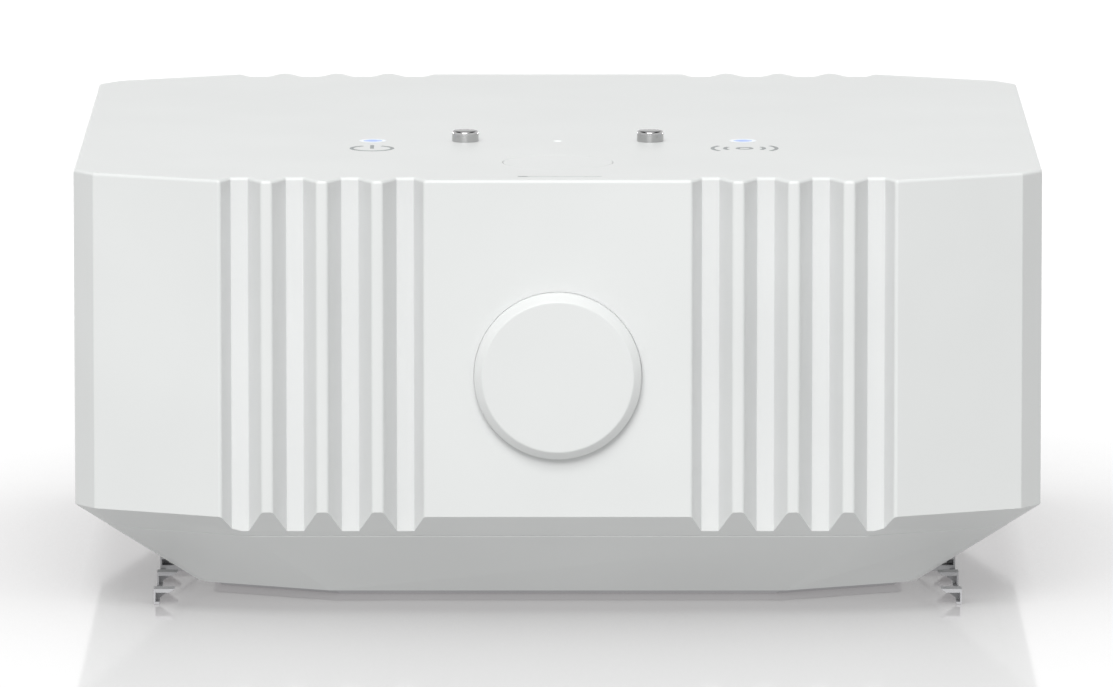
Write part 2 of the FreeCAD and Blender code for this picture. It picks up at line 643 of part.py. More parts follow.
def side_rail(side):
    """The toothed rail beside the wall plate, with the bridges that carry it."""
    half_length = TOOTH_END_Y + TOOTH_DEPTH / 2
    x_low, x_high = sorted((side * RAIL_INNER_X, side * RAIL_OUTER_X))
    rail = box(x_low, x_high, -half_length, half_length, 0.0, RAIL_HEIGHT)
    for index in range(TOOTH_COUNT):
        rail = rail.fuse(rail_tooth(side, index * TOOTH_PITCH - TOOTH_END_Y))
    x_low, x_high = sorted((side * (PLATE_EDGE_X - BRIDGE_ROOT), side * RAIL_OUTER_X))
    for index in range(BRIDGE_COUNT):
        y = (index - (BRIDGE_COUNT - 1) / 2) * TOOTH_PITCH
        rail = rail.fuse(box(x_low, x_high, y - TOOTH_DEPTH / 2, y + TOOTH_DEPTH / 2, 0.0, PLATE_THICKNESS))
    return rail


def wall_plate():
    """Thin plate on the wall, with hooks, toothed side rails, screw holes and a breather window."""
    body = taper(insets_with(taper_insets(0.0), PLATE_INSET), 0.0,
                 insets_with(taper_insets(PLATE_THICKNESS), PLATE_INSET), PLATE_THICKNESS)
    for x, y in hook_places():
        half = HOOK_WIDTH / 2
        body = body.fuse(box(x - half, x + half, y, y + PLATE_THICKNESS, 0.0, HOOK_TOP))
        body = body.fuse(box(x - half, x + half, y, y + HOOK_REACH, HOOK_UNDERSIDE, HOOK_TOP))
    for side in (1, -1):
        body = body.fuse(side_rail(side))
    for y in (WALL_SCREW_SPACING / 2, -WALL_SCREW_SPACING / 2):
        body = body.cut(disc(0, y, WALL_SCREW_HOLE_RADIUS, 0.0, PLATE_THICKNESS))
    body = body.cut(disc(VENT_X, 0, PLATE_VENT_RADIUS, 0.0, PLATE_THICKNESS))
    return body.removeSplitter()


def side_button_cap():
    """Round cap with a chamfered rim, a pocket for its seal and a stem to its switch."""
    face_y = -FLAT_Y - SIDE_BUTTON_PROUD
    cap = end_disc(SIDE_BUTTON_RADIUS, face_y, SIDE_BUTTON_BACK_Y)
    rim = [edge for edge in cap.Edges if abs(edge.BoundBox.YMax - face_y) < EDGE_TOLERANCE]
    cap = cap.makeChamfer(SIDE_BUTTON_CHAMFER, rim)
    pocket_y = SIDE_RECESS_Y - SEAL_LENGTH
    cap = cap.cut(end_ring(SEAL_INNER_RADIUS - SEAL_POCKET_CLEARANCE, SEAL_RADIUS + SEAL_POCKET_CLEARANCE,
                           pocket_y, SIDE_BUTTON_BACK_Y))
    cap = cap.fuse(end_disc(SIDE_STEM_RADIUS, face_y + SIDE_BUTTON_CHAMFER, SIDE_STEM_Y))
    clip_y = SIDE_GUIDE_Y + CLIP_GAP
    cap = cap.cut(end_ring(SIDE_STEM_RADIUS - CLIP_GROOVE_DEPTH, SIDE_STEM_RADIUS + CUT_OVERSHOOT,
                           clip_y, clip_y + CLIP_THICKNESS))
    return cap.removeSplitter()


def side_button_clip():
    """Retaining clip in the stem's groove, open on one side so that it can be pushed on."""
    clip_y = SIDE_GUIDE_Y + CLIP_GAP
    clip = end_ring(SIDE_STEM_RADIUS - CLIP_GROOVE_DEPTH, CLIP_RADIUS, clip_y, clip_y + CLIP_THICKNESS)
    mouth = box(-SIDE_STEM_RADIUS / 2, SIDE_STEM_RADIUS / 2, clip_y, clip_y + CLIP_THICKNESS,
                SIDE_BUTTON_Z - CLIP_RADIUS, SIDE_BUTTON_Z)
    keep = end_disc(SIDE_STEM_RADIUS - CLIP_GROOVE_DEPTH, clip_y, clip_y + CLIP_THICKNESS)
    return clip.cut(mouth.cut(keep))


def side_button_seal():
    """Soft ring between the cap and its recess, which seals the stem and pushes the cap back."""
    return end_ring(SEAL_INNER_RADIUS, SEAL_RADIUS, SIDE_RECESS_Y - SEAL_LENGTH, SIDE_RECESS_Y)


def side_switch_body():
    """Push switch behind the side button."""
    half = SWITCH_SIZE / 2
    body = box(-half, half, SIDE_SWITCH_FRONT_Y, SIDE_SWITCH_BACK_Y,
               SIDE_BUTTON_Z - half, SIDE_BUTTON_Z + half)
    return body.cut(end_disc(PLUNGER_RADIUS + SLIDING_CLEARANCE, SIDE_SWITCH_FRONT_Y,
                             SIDE_SWITCH_BACK_Y - SWITCH_FLOOR))


def side_switch_plunger():
    """The part of the side switch that the stem pushes in."""
    tail = SIDE_SWITCH_BACK_Y - SWITCH_FLOOR - SIDE_BUTTON_TRAVEL - PLUNGER_SHORT_OF_FLOOR
    return end_disc(PLUNGER_RADIUS, SIDE_STEM_Y, tail)


def switch_board():
    """Small upright board that carries the side switch."""
    half = SWITCH_BOARD_WIDTH / 2
    return box(-half, half, SIDE_SWITCH_BACK_Y, SWITCH_BOARD_BACK_Y,
               BOARD_UNDERSIDE - SWITCH_BOARD_HEIGHT, BOARD_UNDERSIDE)


def switch_board_header():
    """Angled header that joins the upright board to the main board."""
    half = HEADER_WIDTH / 2
    return box(-half, half, SWITCH_BOARD_BACK_Y, SWITCH_BOARD_BACK_Y + HEADER_SIZE,
               BOARD_UNDERSIDE - HEADER_SIZE, BOARD_UNDERSIDE)


def top_button_cap():
    """Flush cap in the face, with a retaining flange and a stem to its switch."""
    flange_top = ROOF_INSIDE - TOP_FLANGE_GAP
    cap = disc(0, TOP_BUTTON_Y, TOP_BUTTON_RADIUS, flange_top - TOP_FLANGE_THICKNESS, FACE_HEIGHT)
    cap = cap.fuse(disc(0, TOP_BUTTON_Y, TOP_FLANGE_RADIUS, flange_top - TOP_FLANGE_THICKNESS, flange_top))
    return cap.fuse(disc(0, TOP_BUTTON_Y, TOP_STEM_RADIUS, TOP_STEM_FOOT, flange_top)).removeSplitter()


def top_button_seal():
    """Soft ring under the collar that closes round the small button's stem."""
    outer = TOP_FLANGE_RADIUS + SLIDING_CLEARANCE + TOP_COLLAR_WALL
    return ring(0, TOP_BUTTON_Y, TOP_STEM_RADIUS + SLIDING_CLEARANCE, outer, COLLAR_FOOT - TOP_SEAL_THICKNESS,
                COLLAR_FOOT)


def top_switch_body():
    """Push switch under the small button."""
    body = centred_box(0, TOP_BUTTON_Y, SWITCH_SIZE, SWITCH_SIZE, BOARD_TOP, TOP_SWITCH_TOP)
    bore = disc(0, TOP_BUTTON_Y, PLUNGER_RADIUS + SLIDING_CLEARANCE, BOARD_TOP + SWITCH_FLOOR, TOP_SWITCH_TOP)
    return body.cut(bore)


def top_switch_plunger():
    """The part of the top switch that the stem pushes in."""
    foot = BOARD_TOP + SWITCH_FLOOR + TOP_BUTTON_TRAVEL + PLUNGER_SHORT_OF_FLOOR
    return disc(0, TOP_BUTTON_Y, PLUNGER_RADIUS, foot, TOP_STEM_FOOT)


def light_guide(x, y, tip_radius, body_radius):
    """Clear guide from above a lamp or sensor to the face."""
    foot = BOARD_TOP + LAMP_HEIGHT + LAMP_GAP
    return disc(x, y, body_radius, foot, ROOF_INSIDE).fuse(disc(x, y, tip_radius, ROOF_INSIDE, FACE_HEIGHT))


def lamp(x, y):
    """Surface-mounted lamp or light sensor on the main board."""
    return centred_box(x, y, LAMP_LENGTH, LAMP_LENGTH / 2, BOARD_TOP, BOARD_TOP + LAMP_HEIGHT)


def leak_pin(side):
    """Metal contact that stands out of the face, with its shank down to the board."""
    x = side * PIN_X
    head_top = FACE_HEIGHT + PIN_PROUD
    head = disc(x, PIN_Y, PIN_RADIUS, FACE_HEIGHT, head_top)
    rim = [edge for edge in head.Edges if edge.BoundBox.ZMin > head_top - EDGE_TOLERANCE]
    head = head.makeFillet(PIN_EDGE_RADIUS, rim)
    shank = disc(x, PIN_Y, PIN_SHANK_RADIUS, BOARD_TOP + PIN_CONTACT_HEIGHT, FACE_HEIGHT)
    return head.fuse(shank).removeSplitter()


def leak_pin_rings(seal):
    """The two O-rings under the face, or the two retaining rings that hold them."""
    foot = ROOF_INSIDE - PIN_BOSS_DEPTH + (PIN_SEAL_HEIGHT if seal else 0.0)
    return [ring(side * PIN_X, PIN_Y, PIN_SHANK_RADIUS, PIN_SEAT_RADIUS, foot, foot + PIN_SEAL_HEIGHT)
            for side in (1, -1)]


def leak_pin_contacts():
    """Two sprung contacts on the board under the pins."""
    return [centred_box(side * PIN_X, PIN_Y, PIN_CONTACT_WIDTH, PIN_CONTACT_WIDTH, BOARD_TOP,
                        BOARD_TOP + PIN_CONTACT_HEIGHT)
            for side in (1, -1)]


def main_board():
    """Circuit board, cut round for the four case screw bosses."""
    board = box(-BOARD_HALF_WIDTH, BOARD_HALF_WIDTH, BOARD_LOWER_END, BOARD_UPPER_END,
                BOARD_UNDERSIDE, BOARD_TOP)
    for x, y in mirrored_corners(CASE_SCREW_X, CASE_SCREW_Y):
        board = board.cut(disc(x, y, CASE_BOSS_RADIUS + BOARD_NOTCH_CLEARANCE, BOARD_UNDERSIDE, BOARD_TOP))
    for x, y in mirrored_corners(BOARD_SCREW_X, BOARD_SCREW_Y):
        board = board.cut(disc(x, y, BOARD_SCREW_RADIUS + THREAD_CLEARANCE, BOARD_UNDERSIDE, BOARD_TOP))
    return board


def cell_axis_cylinder(x, radius, y_low, y_high):
    """A round solid along one cell's axis."""
    return Part.makeCylinder(radius, y_high - y_low, Vector(x, y_low, CELL_Z), INWARD)


def battery_cell(x):
    """Standard lithium cell with its raised contact."""
    body = cell_axis_cylinder(x, CELL_RADIUS, -CELL_LENGTH / 2, CELL_LENGTH / 2 - CELL_NUB_HEIGHT)
    return body.fuse(cell_axis_cylinder(x, CELL_NUB_RADIUS, 0.0, CELL_LENGTH / 2)).removeSplitter()


def cradle_ends():
    """The inner faces of the cradle's two end walls."""
    lower = -CELL_LENGTH / 2 - CELL_SPRING_LENGTH
    upper = CELL_LENGTH / 2 + CONTACT_PLATE_THICKNESS
    return lower, upper


def battery_cradle():
    """Tray under the main board whose curved walls hold the two cells."""
    lower, upper = cradle_ends()
    half = CELL_X + CELL_RADIUS + CELL_CLEARANCE + CRADLE_WALL
    tray = box(-half, half, lower - CRADLE_WALL, upper + CRADLE_WALL,
               CELL_Z - CELL_RADIUS / 2, BOARD_UNDERSIDE)
    for x in (CELL_X, -CELL_X):
        tray = tray.cut(cell_axis_cylinder(x, CELL_RADIUS + CELL_CLEARANCE, lower, upper))
        tray = tray.cut(box(x - CRADLE_MOUTH_HALF, x + CRADLE_MOUTH_HALF, lower, upper,
                            CELL_Z - CELL_RADIUS, CELL_Z))
    return tray.removeSplitter()


def cell_end_plates():
    """Two flat contacts at the cells' raised ends."""
    upper = cradle_ends()[1]
    return [cell_axis_cylinder(x, CONTACT_PLATE_RADIUS, CELL_LENGTH / 2, upper)
            for x in (CELL_X, -CELL_X)]


def cell_springs():
    """Two folded leaf contacts at the cells' flat ends."""
    lower = cradle_ends()[0]
    springs = []
    for x in (CELL_X, -CELL_X):
        half = CONTACT_PLATE_RADIUS
        sheet = CONTACT_PLATE_THICKNESS
        back = box(x - half, x + half, lower, lower + sheet, CELL_Z - half, CELL_Z + half)
        bend = box(x - half / 2, x + half / 2, lower, -CELL_LENGTH / 2, CELL_Z + half - sheet, CELL_Z + half)
        front = box(x - half / 2, x + half / 2, -CELL_LENGTH / 2 - sheet, -CELL_LENGTH / 2,
                    CELL_Z - half, CELL_Z + half)
        springs.append(back.fuse(bend).fuse(front).removeSplitter())
    return springs


def processor():
    """Main chip on the board."""
    return centred_box(PROCESSOR_X, PROCESSOR_Y, PROCESSOR_SIZE, PROCESSOR_SIZE,
                       BOARD_TOP, BOARD_TOP + PROCESSOR_HEIGHT)


def radio_shield():
    """Sheet metal can over the radio."""
    top = BOARD_TOP + SHIELD_HEIGHT
    can = centred_box(SHIELD_X, SHIELD_Y, SHIELD_WIDTH, SHIELD_DEPTH, BOARD_TOP, top)
    return can.cut(centred_box(SHIELD_X, SHIELD_Y, SHIELD_WIDTH - 2 * SHIELD_SHEET,
                               SHIELD_DEPTH - 2 * SHIELD_SHEET, BOARD_TOP, top - SHIELD_SHEET))


def radio_antenna():
    """Folded sheet metal antenna at the board's upper end."""
    half = ANTENNA_LENGTH / 2
    y_high = BOARD_UPPER_END - ANTENNA_EDGE_GAP
    y_low = y_high - ANTENNA_DEPTH
    top = BOARD_TOP + ANTENNA_HEIGHT
    roof = box(-half, half, y_low, y_high, top - ANTENNA_SHEET, top)
    feed = box(-half, -half + 2 * ANTENNA_SHEET, y_high - ANTENNA_SHEET, y_high, BOARD_TOP, top)
    ground = box(-half / 2, -half / 2 + 2 * ANTENNA_SHEET, y_high - ANTENNA_SHEET, y_high, BOARD_TOP, top)
    stay = box(half - 2 * ANTENNA_SHEET, half, y_high - ANTENNA_SHEET, y_high, BOARD_TOP, top)
    return roof.fuse(feed).fuse(ground).fuse(stay).removeSplitter()


def buffer_capacitor():
    """Capacitor that lies on the board and feeds the radio's bursts."""
    start = Vector(CAPACITOR_X, CAPACITOR_Y, BOARD_TOP + CAPACITOR_RADIUS)
    return Part.makeCylinder(CAPACITOR_RADIUS, CAPACITOR_LENGTH, start, Vector(1, 0, 0))


def vent_membrane():
    """Breather membrane over the holes in the cover's floor."""
    return disc(VENT_X, 0, MEMBRANE_RADIUS, COVER_FLOOR_TOP, COVER_FLOOR_TOP + MEMBRANE_THICKNESS)


def climate_board():
    """Small board on the breather's collar."""
    return centred_box(VENT_X, 0, CLIMATE_BOARD_SIZE, CLIMATE_BOARD_SIZE, VENT_COLLAR_TOP, CLIMATE_BOARD_TOP)


def climate_sensor():
    """Temperature and humidity sensor that faces the membrane."""
    return centred_box(VENT_X, 0, CLIMATE_SENSOR_SIZE, CLIMATE_SENSOR_SIZE,
                       VENT_COLLAR_TOP - CLIMATE_SENSOR_HEIGHT, VENT_COLLAR_TOP)


def climate_header():
    """Long pin header from the small board up to the main board."""
    x = VENT_X + CLIMATE_BOARD_SIZE / 2 - HEADER_SIZE / 2
    length = CLIMATE_PIN_COUNT * CLIMATE_PIN_PITCH
    body = centred_box(x, 0, HEADER_SIZE, length, CLIMATE_BOARD_TOP, CLIMATE_BOARD_TOP + HEADER_SIZE)
    for index in range(CLIMATE_PIN_COUNT):
        y = (index - (CLIMATE_PIN_COUNT - 1) / 2) * CLIMATE_PIN_PITCH
        body = body.fuse(disc(x, y, CLIMATE_PIN_RADIUS, CLIMATE_BOARD_TOP, BOARD_UNDERSIDE))
    return body.removeSplitter()


def build_nodes():
    """Every piece by its name, as one solid or a list of separate solids."""
    return {
        "front_housing": front_housing(),
        "rear_cover": rear_cover(),
        "housing_gasket": housing_gasket(),
        "case_screws": case_screws(),
        "wall_plate": wall_plate(),
        "side_button_cap": side_button_cap(),
        "side_button_seal": side_button_seal(),
        "side_button_clip": side_button_clip(),
        "side_switch_body": side_switch_body(),
        "side_switch_plunger": side_switch_plunger(),
        "switch_board": switch_board(),
        "switch_board_header": switch_board_header(),
        "top_button_cap": top_button_cap(),
        "top_button_seal": top_button_seal(),
        "top_switch_body": top_switch_body(),
        "top_switch_plunger": top_switch_plunger(),
        "light_pipe_power": light_guide(-LAMP_X, LAMP_Y, LIGHT_PIPE_TIP_RADIUS, LIGHT_PIPE_BODY_RADIUS),
        "light_pipe_link": light_guide(LAMP_X, LAMP_Y, LIGHT_PIPE_TIP_RADIUS, LIGHT_PIPE_BODY_RADIUS),
        "light_sensor_window": light_guide(0, WINDOW_Y, WINDOW_TIP_RADIUS, WINDOW_BODY_RADIUS),
        "led_power": lamp(-LAMP_X, LAMP_Y),
        "led_link": lamp(LAMP_X, LAMP_Y),
        "light_sensor": lamp(0, WINDOW_Y),
        "leak_pin_left": leak_pin(-1),
        "leak_pin_right": leak_pin(1),
        "leak_pin_seals": leak_pin_rings(True),
        "leak_pin_retainers": leak_pin_rings(False),
        "leak_pin_contacts": leak_pin_contacts(),
        "main_board": main_board(),
        "board_screws": board_screws(),
        "processor": processor(),
        "radio_shield": radio_shield(),
        "radio_antenna": radio_antenna(),
        "buffer_capacitor": buffer_capacitor(),
        "battery_cradle": battery_cradle(),
        "battery_cell_left": battery_cell(-CELL_X),
        "battery_cell_right": battery_cell(CELL_X),
        "cell_end_plates": cell_end_plates(),
        "cell_springs": cell_springs(),
        "vent_membrane": vent_membrane(),
        "climate_board": climate_board(),
        "climate_sensor": climate_sensor(),
        "climate_header": climate_header(),
    }


def main():
    """Write one STEP file for each piece."""
    os.makedirs("parts", exist_ok=True)
    for name, made in build_nodes().items():
        shape = Part.makeCompound(made) if isinstance(made, list) else made
        shape.exportStep(os.path.join("parts", name + ".step"))
        solids = shape.Solids
        print(name, len(solids), "solids, valid", shape.isValid(), "volume", round(shape.Volume, 2))


main()
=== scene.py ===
"""Finishes, dressed pieces and studio of the battery environmental sensor.

Every length is in metres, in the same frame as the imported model: +Z out of the sensor's face, +X to
the right, +Y towards its upper end, and the floor at z = 0.
"""

import logging
import math
from dataclasses import dataclass, field
from enum import Enum
from typing import Callable, Sequence, Union

import bmesh
import bpy
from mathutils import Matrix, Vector


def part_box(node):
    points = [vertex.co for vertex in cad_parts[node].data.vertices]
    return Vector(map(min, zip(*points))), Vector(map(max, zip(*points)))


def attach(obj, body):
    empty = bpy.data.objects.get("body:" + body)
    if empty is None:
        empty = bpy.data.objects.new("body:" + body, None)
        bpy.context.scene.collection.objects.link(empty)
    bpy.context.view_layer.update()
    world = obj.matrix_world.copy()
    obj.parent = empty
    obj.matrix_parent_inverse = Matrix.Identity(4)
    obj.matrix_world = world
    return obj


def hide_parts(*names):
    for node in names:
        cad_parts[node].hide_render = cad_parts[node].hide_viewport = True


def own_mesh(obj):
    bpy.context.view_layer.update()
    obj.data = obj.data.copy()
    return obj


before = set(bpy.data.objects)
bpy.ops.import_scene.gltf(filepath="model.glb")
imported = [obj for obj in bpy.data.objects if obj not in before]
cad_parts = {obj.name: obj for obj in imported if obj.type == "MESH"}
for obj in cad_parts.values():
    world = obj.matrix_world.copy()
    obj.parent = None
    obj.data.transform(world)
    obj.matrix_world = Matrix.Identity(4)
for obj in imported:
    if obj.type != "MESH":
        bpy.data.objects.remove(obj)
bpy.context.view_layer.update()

Point2 = tuple[float, float]
Point3 = tuple[float, float, float]
Insets = tuple[float, float, float, float]
Placing = Callable[[float, float, float], Vector]
Tree = bpy.types.NodeTree
Wire = bpy.types.NodeSocket
Sockets = dict[Union[str, int], Union[float, Sequence[float], Wire]]
Material = bpy.types.Material
Materials = dict[str, Material]
Piece = bpy.types.Object
Solid = bmesh.types.BMesh

MM = 0.001
LOG = logging.getLogger("sensor")
FACE_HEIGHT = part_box("front_housing")[1].z

WHITE = "FFFFFF"
BLACK = "000000"
LIGHT_WHITE = (1.0, 1.0, 1.0, 1.0)
# The part of a grain's range over which a finish goes from its shade to its colour.
TONE_FROM = 0.35
TONE_TO = 0.65
# How upright a surface's normal is where a level tint starts and where it is full.
LEVEL_FROM = 0.8
LEVEL_TO = 0.97

# An outline's corner that turns by less than this isn't rounded.
STRAIGHT_DEGREES = 4.0
# Keeps a moved outline's sharp corners from running far out.
SHARPEST_CORNER = 0.2
# Points that lie nearer than this are one point.
SAME_PLACE = 0.0001 * MM
# Edges that turn by more than this stay sharp, on small pieces and on the two shells.
SMALL_SHARP_DEGREES = 30.0
SHELL_SHARP_DEGREES = 24.0
# The ways up and down on the face, as it is read from the lower end.
UP_DEGREES = 90
DOWN_DEGREES = 270


class Bend(Enum):
    """Which way an outline turns at a corner."""

    OUTWARD = 1
    INWARD = -1


class Cut(Enum):
    """What a tool does to a solid, by Blender's name for it."""

    TAKE_AWAY = "DIFFERENCE"
    KEEP_INSIDE = "INTERSECT"


def linear_colour(hex_code: str) -> tuple[float, float, float, float]:
    """Turn an sRGB hex value into linear light.

    Args:
        hex_code: Six hex digits.

    Returns:
        Red, green, blue and a full alpha for a shader socket.
    """
    values = []
    for index in (0, 2, 4):
        part = int(hex_code[index:index + 2], 16) / 255
        values.append(part / 12.92 if part <= 0.04045 else ((part + 0.055) / 1.055) ** 2.4)
    return values[0], values[1], values[2], 1.0


def add_node(tree: Tree, kind: str, settings: dict | None = None,
             inputs: Sockets | None = None, stops: Sequence[tuple[float, str]] = ()) -> bpy.types.Node:
    """Add one shader node with its settings and links.

    Args:
        tree: The material's or world's node tree.
        kind: Blender's name for the node type.
        settings: Attribute values of the node.
        inputs: Socket name or number to a value or to another node's output.
        stops: Place and sRGB hex colour of a ramp's two ends.

    Returns:
        The new node.
    """
    node = tree.nodes.new(kind)
    for name, value in (settings or {}).items():
        setattr(node, name, value)
    for name, value in (inputs or {}).items():
        if isinstance(value, Wire):
            tree.links.new(value, node.inputs[name])
        else:
            node.inputs[name].default_value = value
    for index, (place, hex_code) in enumerate(stops):
        end = node.color_ramp.elements[index]
        end.position = place
        end.color = linear_colour(hex_code)
    return node


def new_material(name: str) -> tuple[Material, Tree]:
    """Make a material with an empty node tree.

    Args:
        name: The material's name.

    Returns:
        The material and its tree.
    """
    material = bpy.data.materials.new(name)
    material.use_nodes = True
    material.node_tree.nodes.clear()
    return material, material.node_tree


def grain(tree: Tree, size: float, detail: float = 2.0) -> Wire:
    """Lay an uneven pattern over a surface, with spots of a real size.

    Args:
        tree: The material's node tree.
        size: Width of one spot.
        detail: How many finer octaves the pattern has.

    Returns:
        The socket that goes from 0 to 1 over the pattern.
    """
    place = add_node(tree, "ShaderNodeTexCoord")
    return add_node(tree, "ShaderNodeTexNoise", inputs={
        "Vector": place.outputs["Object"], "Scale": 1.0 / size, "Detail": detail}).outputs["Fac"]


def radial_share(tree: Tree, centre: Point2, radius: float) -> Wire:
    """Give how far a spot is from an upright axis, as a share of a radius.

    Args:
        tree: The material's node tree.
        centre: Where the axis stands in plan.
        radius: The distance that counts as one.

    Returns:
        The socket with the share.
    """
    place = add_node(tree, "ShaderNodeTexCoord")
    middle = add_node(tree, "ShaderNodeCombineXYZ", inputs={"X": centre[0], "Y": centre[1]})
    flat = add_node(tree, "ShaderNodeVectorMath", {"operation": "MULTIPLY"}, {
        0: place.outputs["Object"], 1: (1.0, 1.0, 0.0)})
    away = add_node(tree, "ShaderNodeVectorMath", {"operation": "DISTANCE"}, {
        0: flat.outputs["Vector"], 1: middle.outputs["Vector"]})
    share = add_node(tree, "ShaderNodeMath", {"operation": "DIVIDE"}, {0: away.outputs["Value"], 1: radius})
    return share.outputs["Value"]


def level_tint(tree: Tree, base: Wire, tint: str, both_ways: bool = False) -> Wire:
    """Tint only the surfaces that lie level, which paints shade on them.

    Args:
        tree: The material's node tree.
        base: The colour before the tint.
        tint: Hex colour that multiplies it on level surfaces.
        both_ways: Whether surfaces that face down are tinted too.

    Returns:
        The tinted colour's socket.
    """
    parts = add_node(tree, "ShaderNodeSeparateXYZ", inputs={
        "Vector": add_node(tree, "ShaderNodeNewGeometry").outputs["Normal"]})
    facing = parts.outputs["Z"]
    if both_ways:
        facing = add_node(tree, "ShaderNodeMath", {"operation": "ABSOLUTE"}, {0: facing}).outputs["Value"]
    share = add_node(tree, "ShaderNodeValToRGB", inputs={"Fac": facing},
                     stops=((LEVEL_FROM, WHITE), (LEVEL_TO, tint)))
    tinted = add_node(tree, "ShaderNodeVectorMath", {"operation": "MULTIPLY"}, {
        0: base, 1: share.outputs["Color"]})
    return tinted.outputs["Vector"]


@dataclass(frozen=True)
class Finish:
    """What every finish shares: its name, and one material with one surface shader."""

    name: str

    def surface(self, tree: Tree) -> Sockets:
        """Give the surface shader's values and links, which each finish says for itself."""
        raise NotImplementedError

    def mottle(self, tree: Tree, size: float, low: str, high: str) -> tuple[Wire, Wire]:
        """Mottle a surface in two tones, with spots of a real size.

        Args:
            tree: The material's node tree.
            size: Width of one spot.
            low: Hex colour of the low spots.
            high: Hex colour of the high spots.

        Returns:
            The sockets of the pattern and of its colour.
        """
        spots = grain(tree, size)
        tones = add_node(tree, "ShaderNodeValToRGB", inputs={"Fac": spots},
                         stops=((TONE_FROM, low), (TONE_TO, high)))
        return spots, tones.outputs["Color"]

    def build(self) -> Material:
        """Make the material.

        Returns:
            The material, named for the finish.
        """
        material, tree = new_material(self.name)
        shader = add_node(tree, "ShaderNodeBsdfPrincipled", inputs=self.surface(tree))
        add_node(tree, "ShaderNodeOutputMaterial", inputs={"Surface": shader.outputs["BSDF"]})
        return material


@dataclass(frozen=True)
class MouldedPlastic(Finish):
    """Injection-moulded thermoplastic from a spark-eroded mould.

    The eroded mould leaves a very fine, even grain that spreads the highlight, and the melt leaves
    broad, faint changes in tone and sheen. Where a recess shade is given, narrow recesses are darkened
    with painted shade. The real grain is finer than the render shows, so it is drawn coarser.
    """

    colour: str
    shade: str
    roughness: float
    grain_size: float
    grain_depth: float
    tone_size: float = 18 * MM
    sheen_swing: float = 0.04
    ior: float = 1.5
    recess_painted_shade: str = WHITE
    recess_reach: float = 4 * MM
    recess_range: Point2 = (0.5, 0.95)

    def surface(self, tree: Tree) -> Sockets:
        """Give the surface shader's values and links.

        Args:
            tree: The material's node tree.

        Returns:
            Socket names to values and links.
        """
        tone, base = self.mottle(tree, self.tone_size, self.shade, self.colour)
        # Painted shade: narrow recesses that little open sky reaches are darkened.
        if self.recess_painted_shade != WHITE:
            open_sky = add_node(tree, "ShaderNodeAmbientOcclusion", {"samples": 8}, {
                "Distance": self.recess_reach})
            recess = add_node(tree, "ShaderNodeValToRGB", inputs={"Fac": open_sky.outputs["AO"]},
                              stops=tuple(zip(self.recess_range, (self.recess_painted_shade, WHITE))))
            base = add_node(tree, "ShaderNodeVectorMath", {"operation": "MULTIPLY"}, {
                0: base, 1: recess.outputs["Color"]}).outputs["Vector"]
        sheen = add_node(tree, "ShaderNodeMapRange", inputs={
            "Value": tone, "To Min": self.roughness - self.sheen_swing,
            "To Max": self.roughness + self.sheen_swing})
        bump = add_node(tree, "ShaderNodeBump", inputs={
            "Height": grain(tree, self.grain_size, 3.0), "Distance": self.grain_depth, "Strength": 0.5})
        return {"Base Color": base, "Roughness": sheen.outputs["Result"], "IOR": self.ior,
                "Normal": bump.outputs["Normal"]}


@dataclass(frozen=True)
class Metal(Finish):
    """Bare or plated metal, turned, drawn or stamped.

    The tool leaves fine marks that stretch the highlight, and handling leaves soft smudges in the
    gloss. Faces that look up can be darkened with painted shade, for a dark reflection.
    """

    colour: str
    shade: str
    roughness: float
    mark_size: float
    mark_depth: float
    painted_dark_top: str = ""
    smudge_size: float = 3 * MM
    gloss_range: Point2 = (0.7, 1.3)

    def surface(self, tree: Tree) -> Sockets:
        """Give the surface shader's values and links.

        Args:
            tree: The material's node tree.

        Returns:
            Socket names to values and links.
        """
        smudge, base = self.mottle(tree, self.smudge_size, self.shade, self.colour)
        # Painted shade: faces that look up are darkened, standing in for a dark reflection.
        if self.painted_dark_top:
            base = level_tint(tree, base, self.painted_dark_top)
        smooth, dull = (self.roughness * share for share in self.gloss_range)
        gloss = add_node(tree, "ShaderNodeMapRange", inputs={
            "Value": smudge, "To Min": smooth, "To Max": dull})
        bump = add_node(tree, "ShaderNodeBump", inputs={
            "Height": grain(tree, self.mark_size, 1.0), "Distance": self.mark_depth, "Strength": 0.3})
        return {"Base Color": base, "Roughness": gloss.outputs["Result"], "Metallic": 1.0,
                "Normal": bump.outputs["Normal"]}


@dataclass(frozen=True)
class LitAcrylic(Finish):
    """Polished acrylic light pipe with a lamp behind it.

    The pipe shows as an even, soft glow that is a little stronger at its middle.
    """

    glow: str
    rim: str
    centre: Point2
    radius: float
    core: float = 0.3
    strength: float = 0.93
    unlit: str = "3A4048"

    def surface(self, tree: Tree) -> Sockets:
        """Give the surface shader's values and links.

        Args:
            tree: The material's node tree.

        Returns:
            Socket names to values and links.
        """
        share = radial_share(tree, self.centre, self.radius)
        glow = add_node(tree, "ShaderNodeValToRGB", inputs={"Fac": share},
                        stops=((self.core, self.glow), (1.0, self.rim)))
        return {"Base Color": linear_colour(self.unlit), "Roughness": 0.2, "Specular IOR Level": 0.0,
                "Emission Color": glow.outputs["Color"], "Emission Strength": self.strength}


@dataclass(frozen=True)
class BacklitPlastic(Finish):
    """White plastic beside a light pipe, through which a little of the light bleeds.

    The glow is strongest at the pipe and fades out, so that the ring has no edge of its own.
    """

    colour: str
    glow: str
    centre: Point2
    inner: float
    outer: float
    strength: float = 0.5

    def surface(self, tree: Tree) -> Sockets:
        """Give the surface shader's values and links.

        Args:
            tree: The material's node tree.

        Returns:
            Socket names to values and links.
        """
        share = radial_share(tree, self.centre, self.outer)
        glow = add_node(tree, "ShaderNodeValToRGB", inputs={"Fac": share},
                        stops=((self.inner / self.outer, self.glow), (1.0, BLACK)))
        return {"Base Color": linear_colour(self.colour), "Roughness": 0.42, "IOR": 1.5,
                "Emission Color": glow.outputs["Color"], "Emission Strength": self.strength}


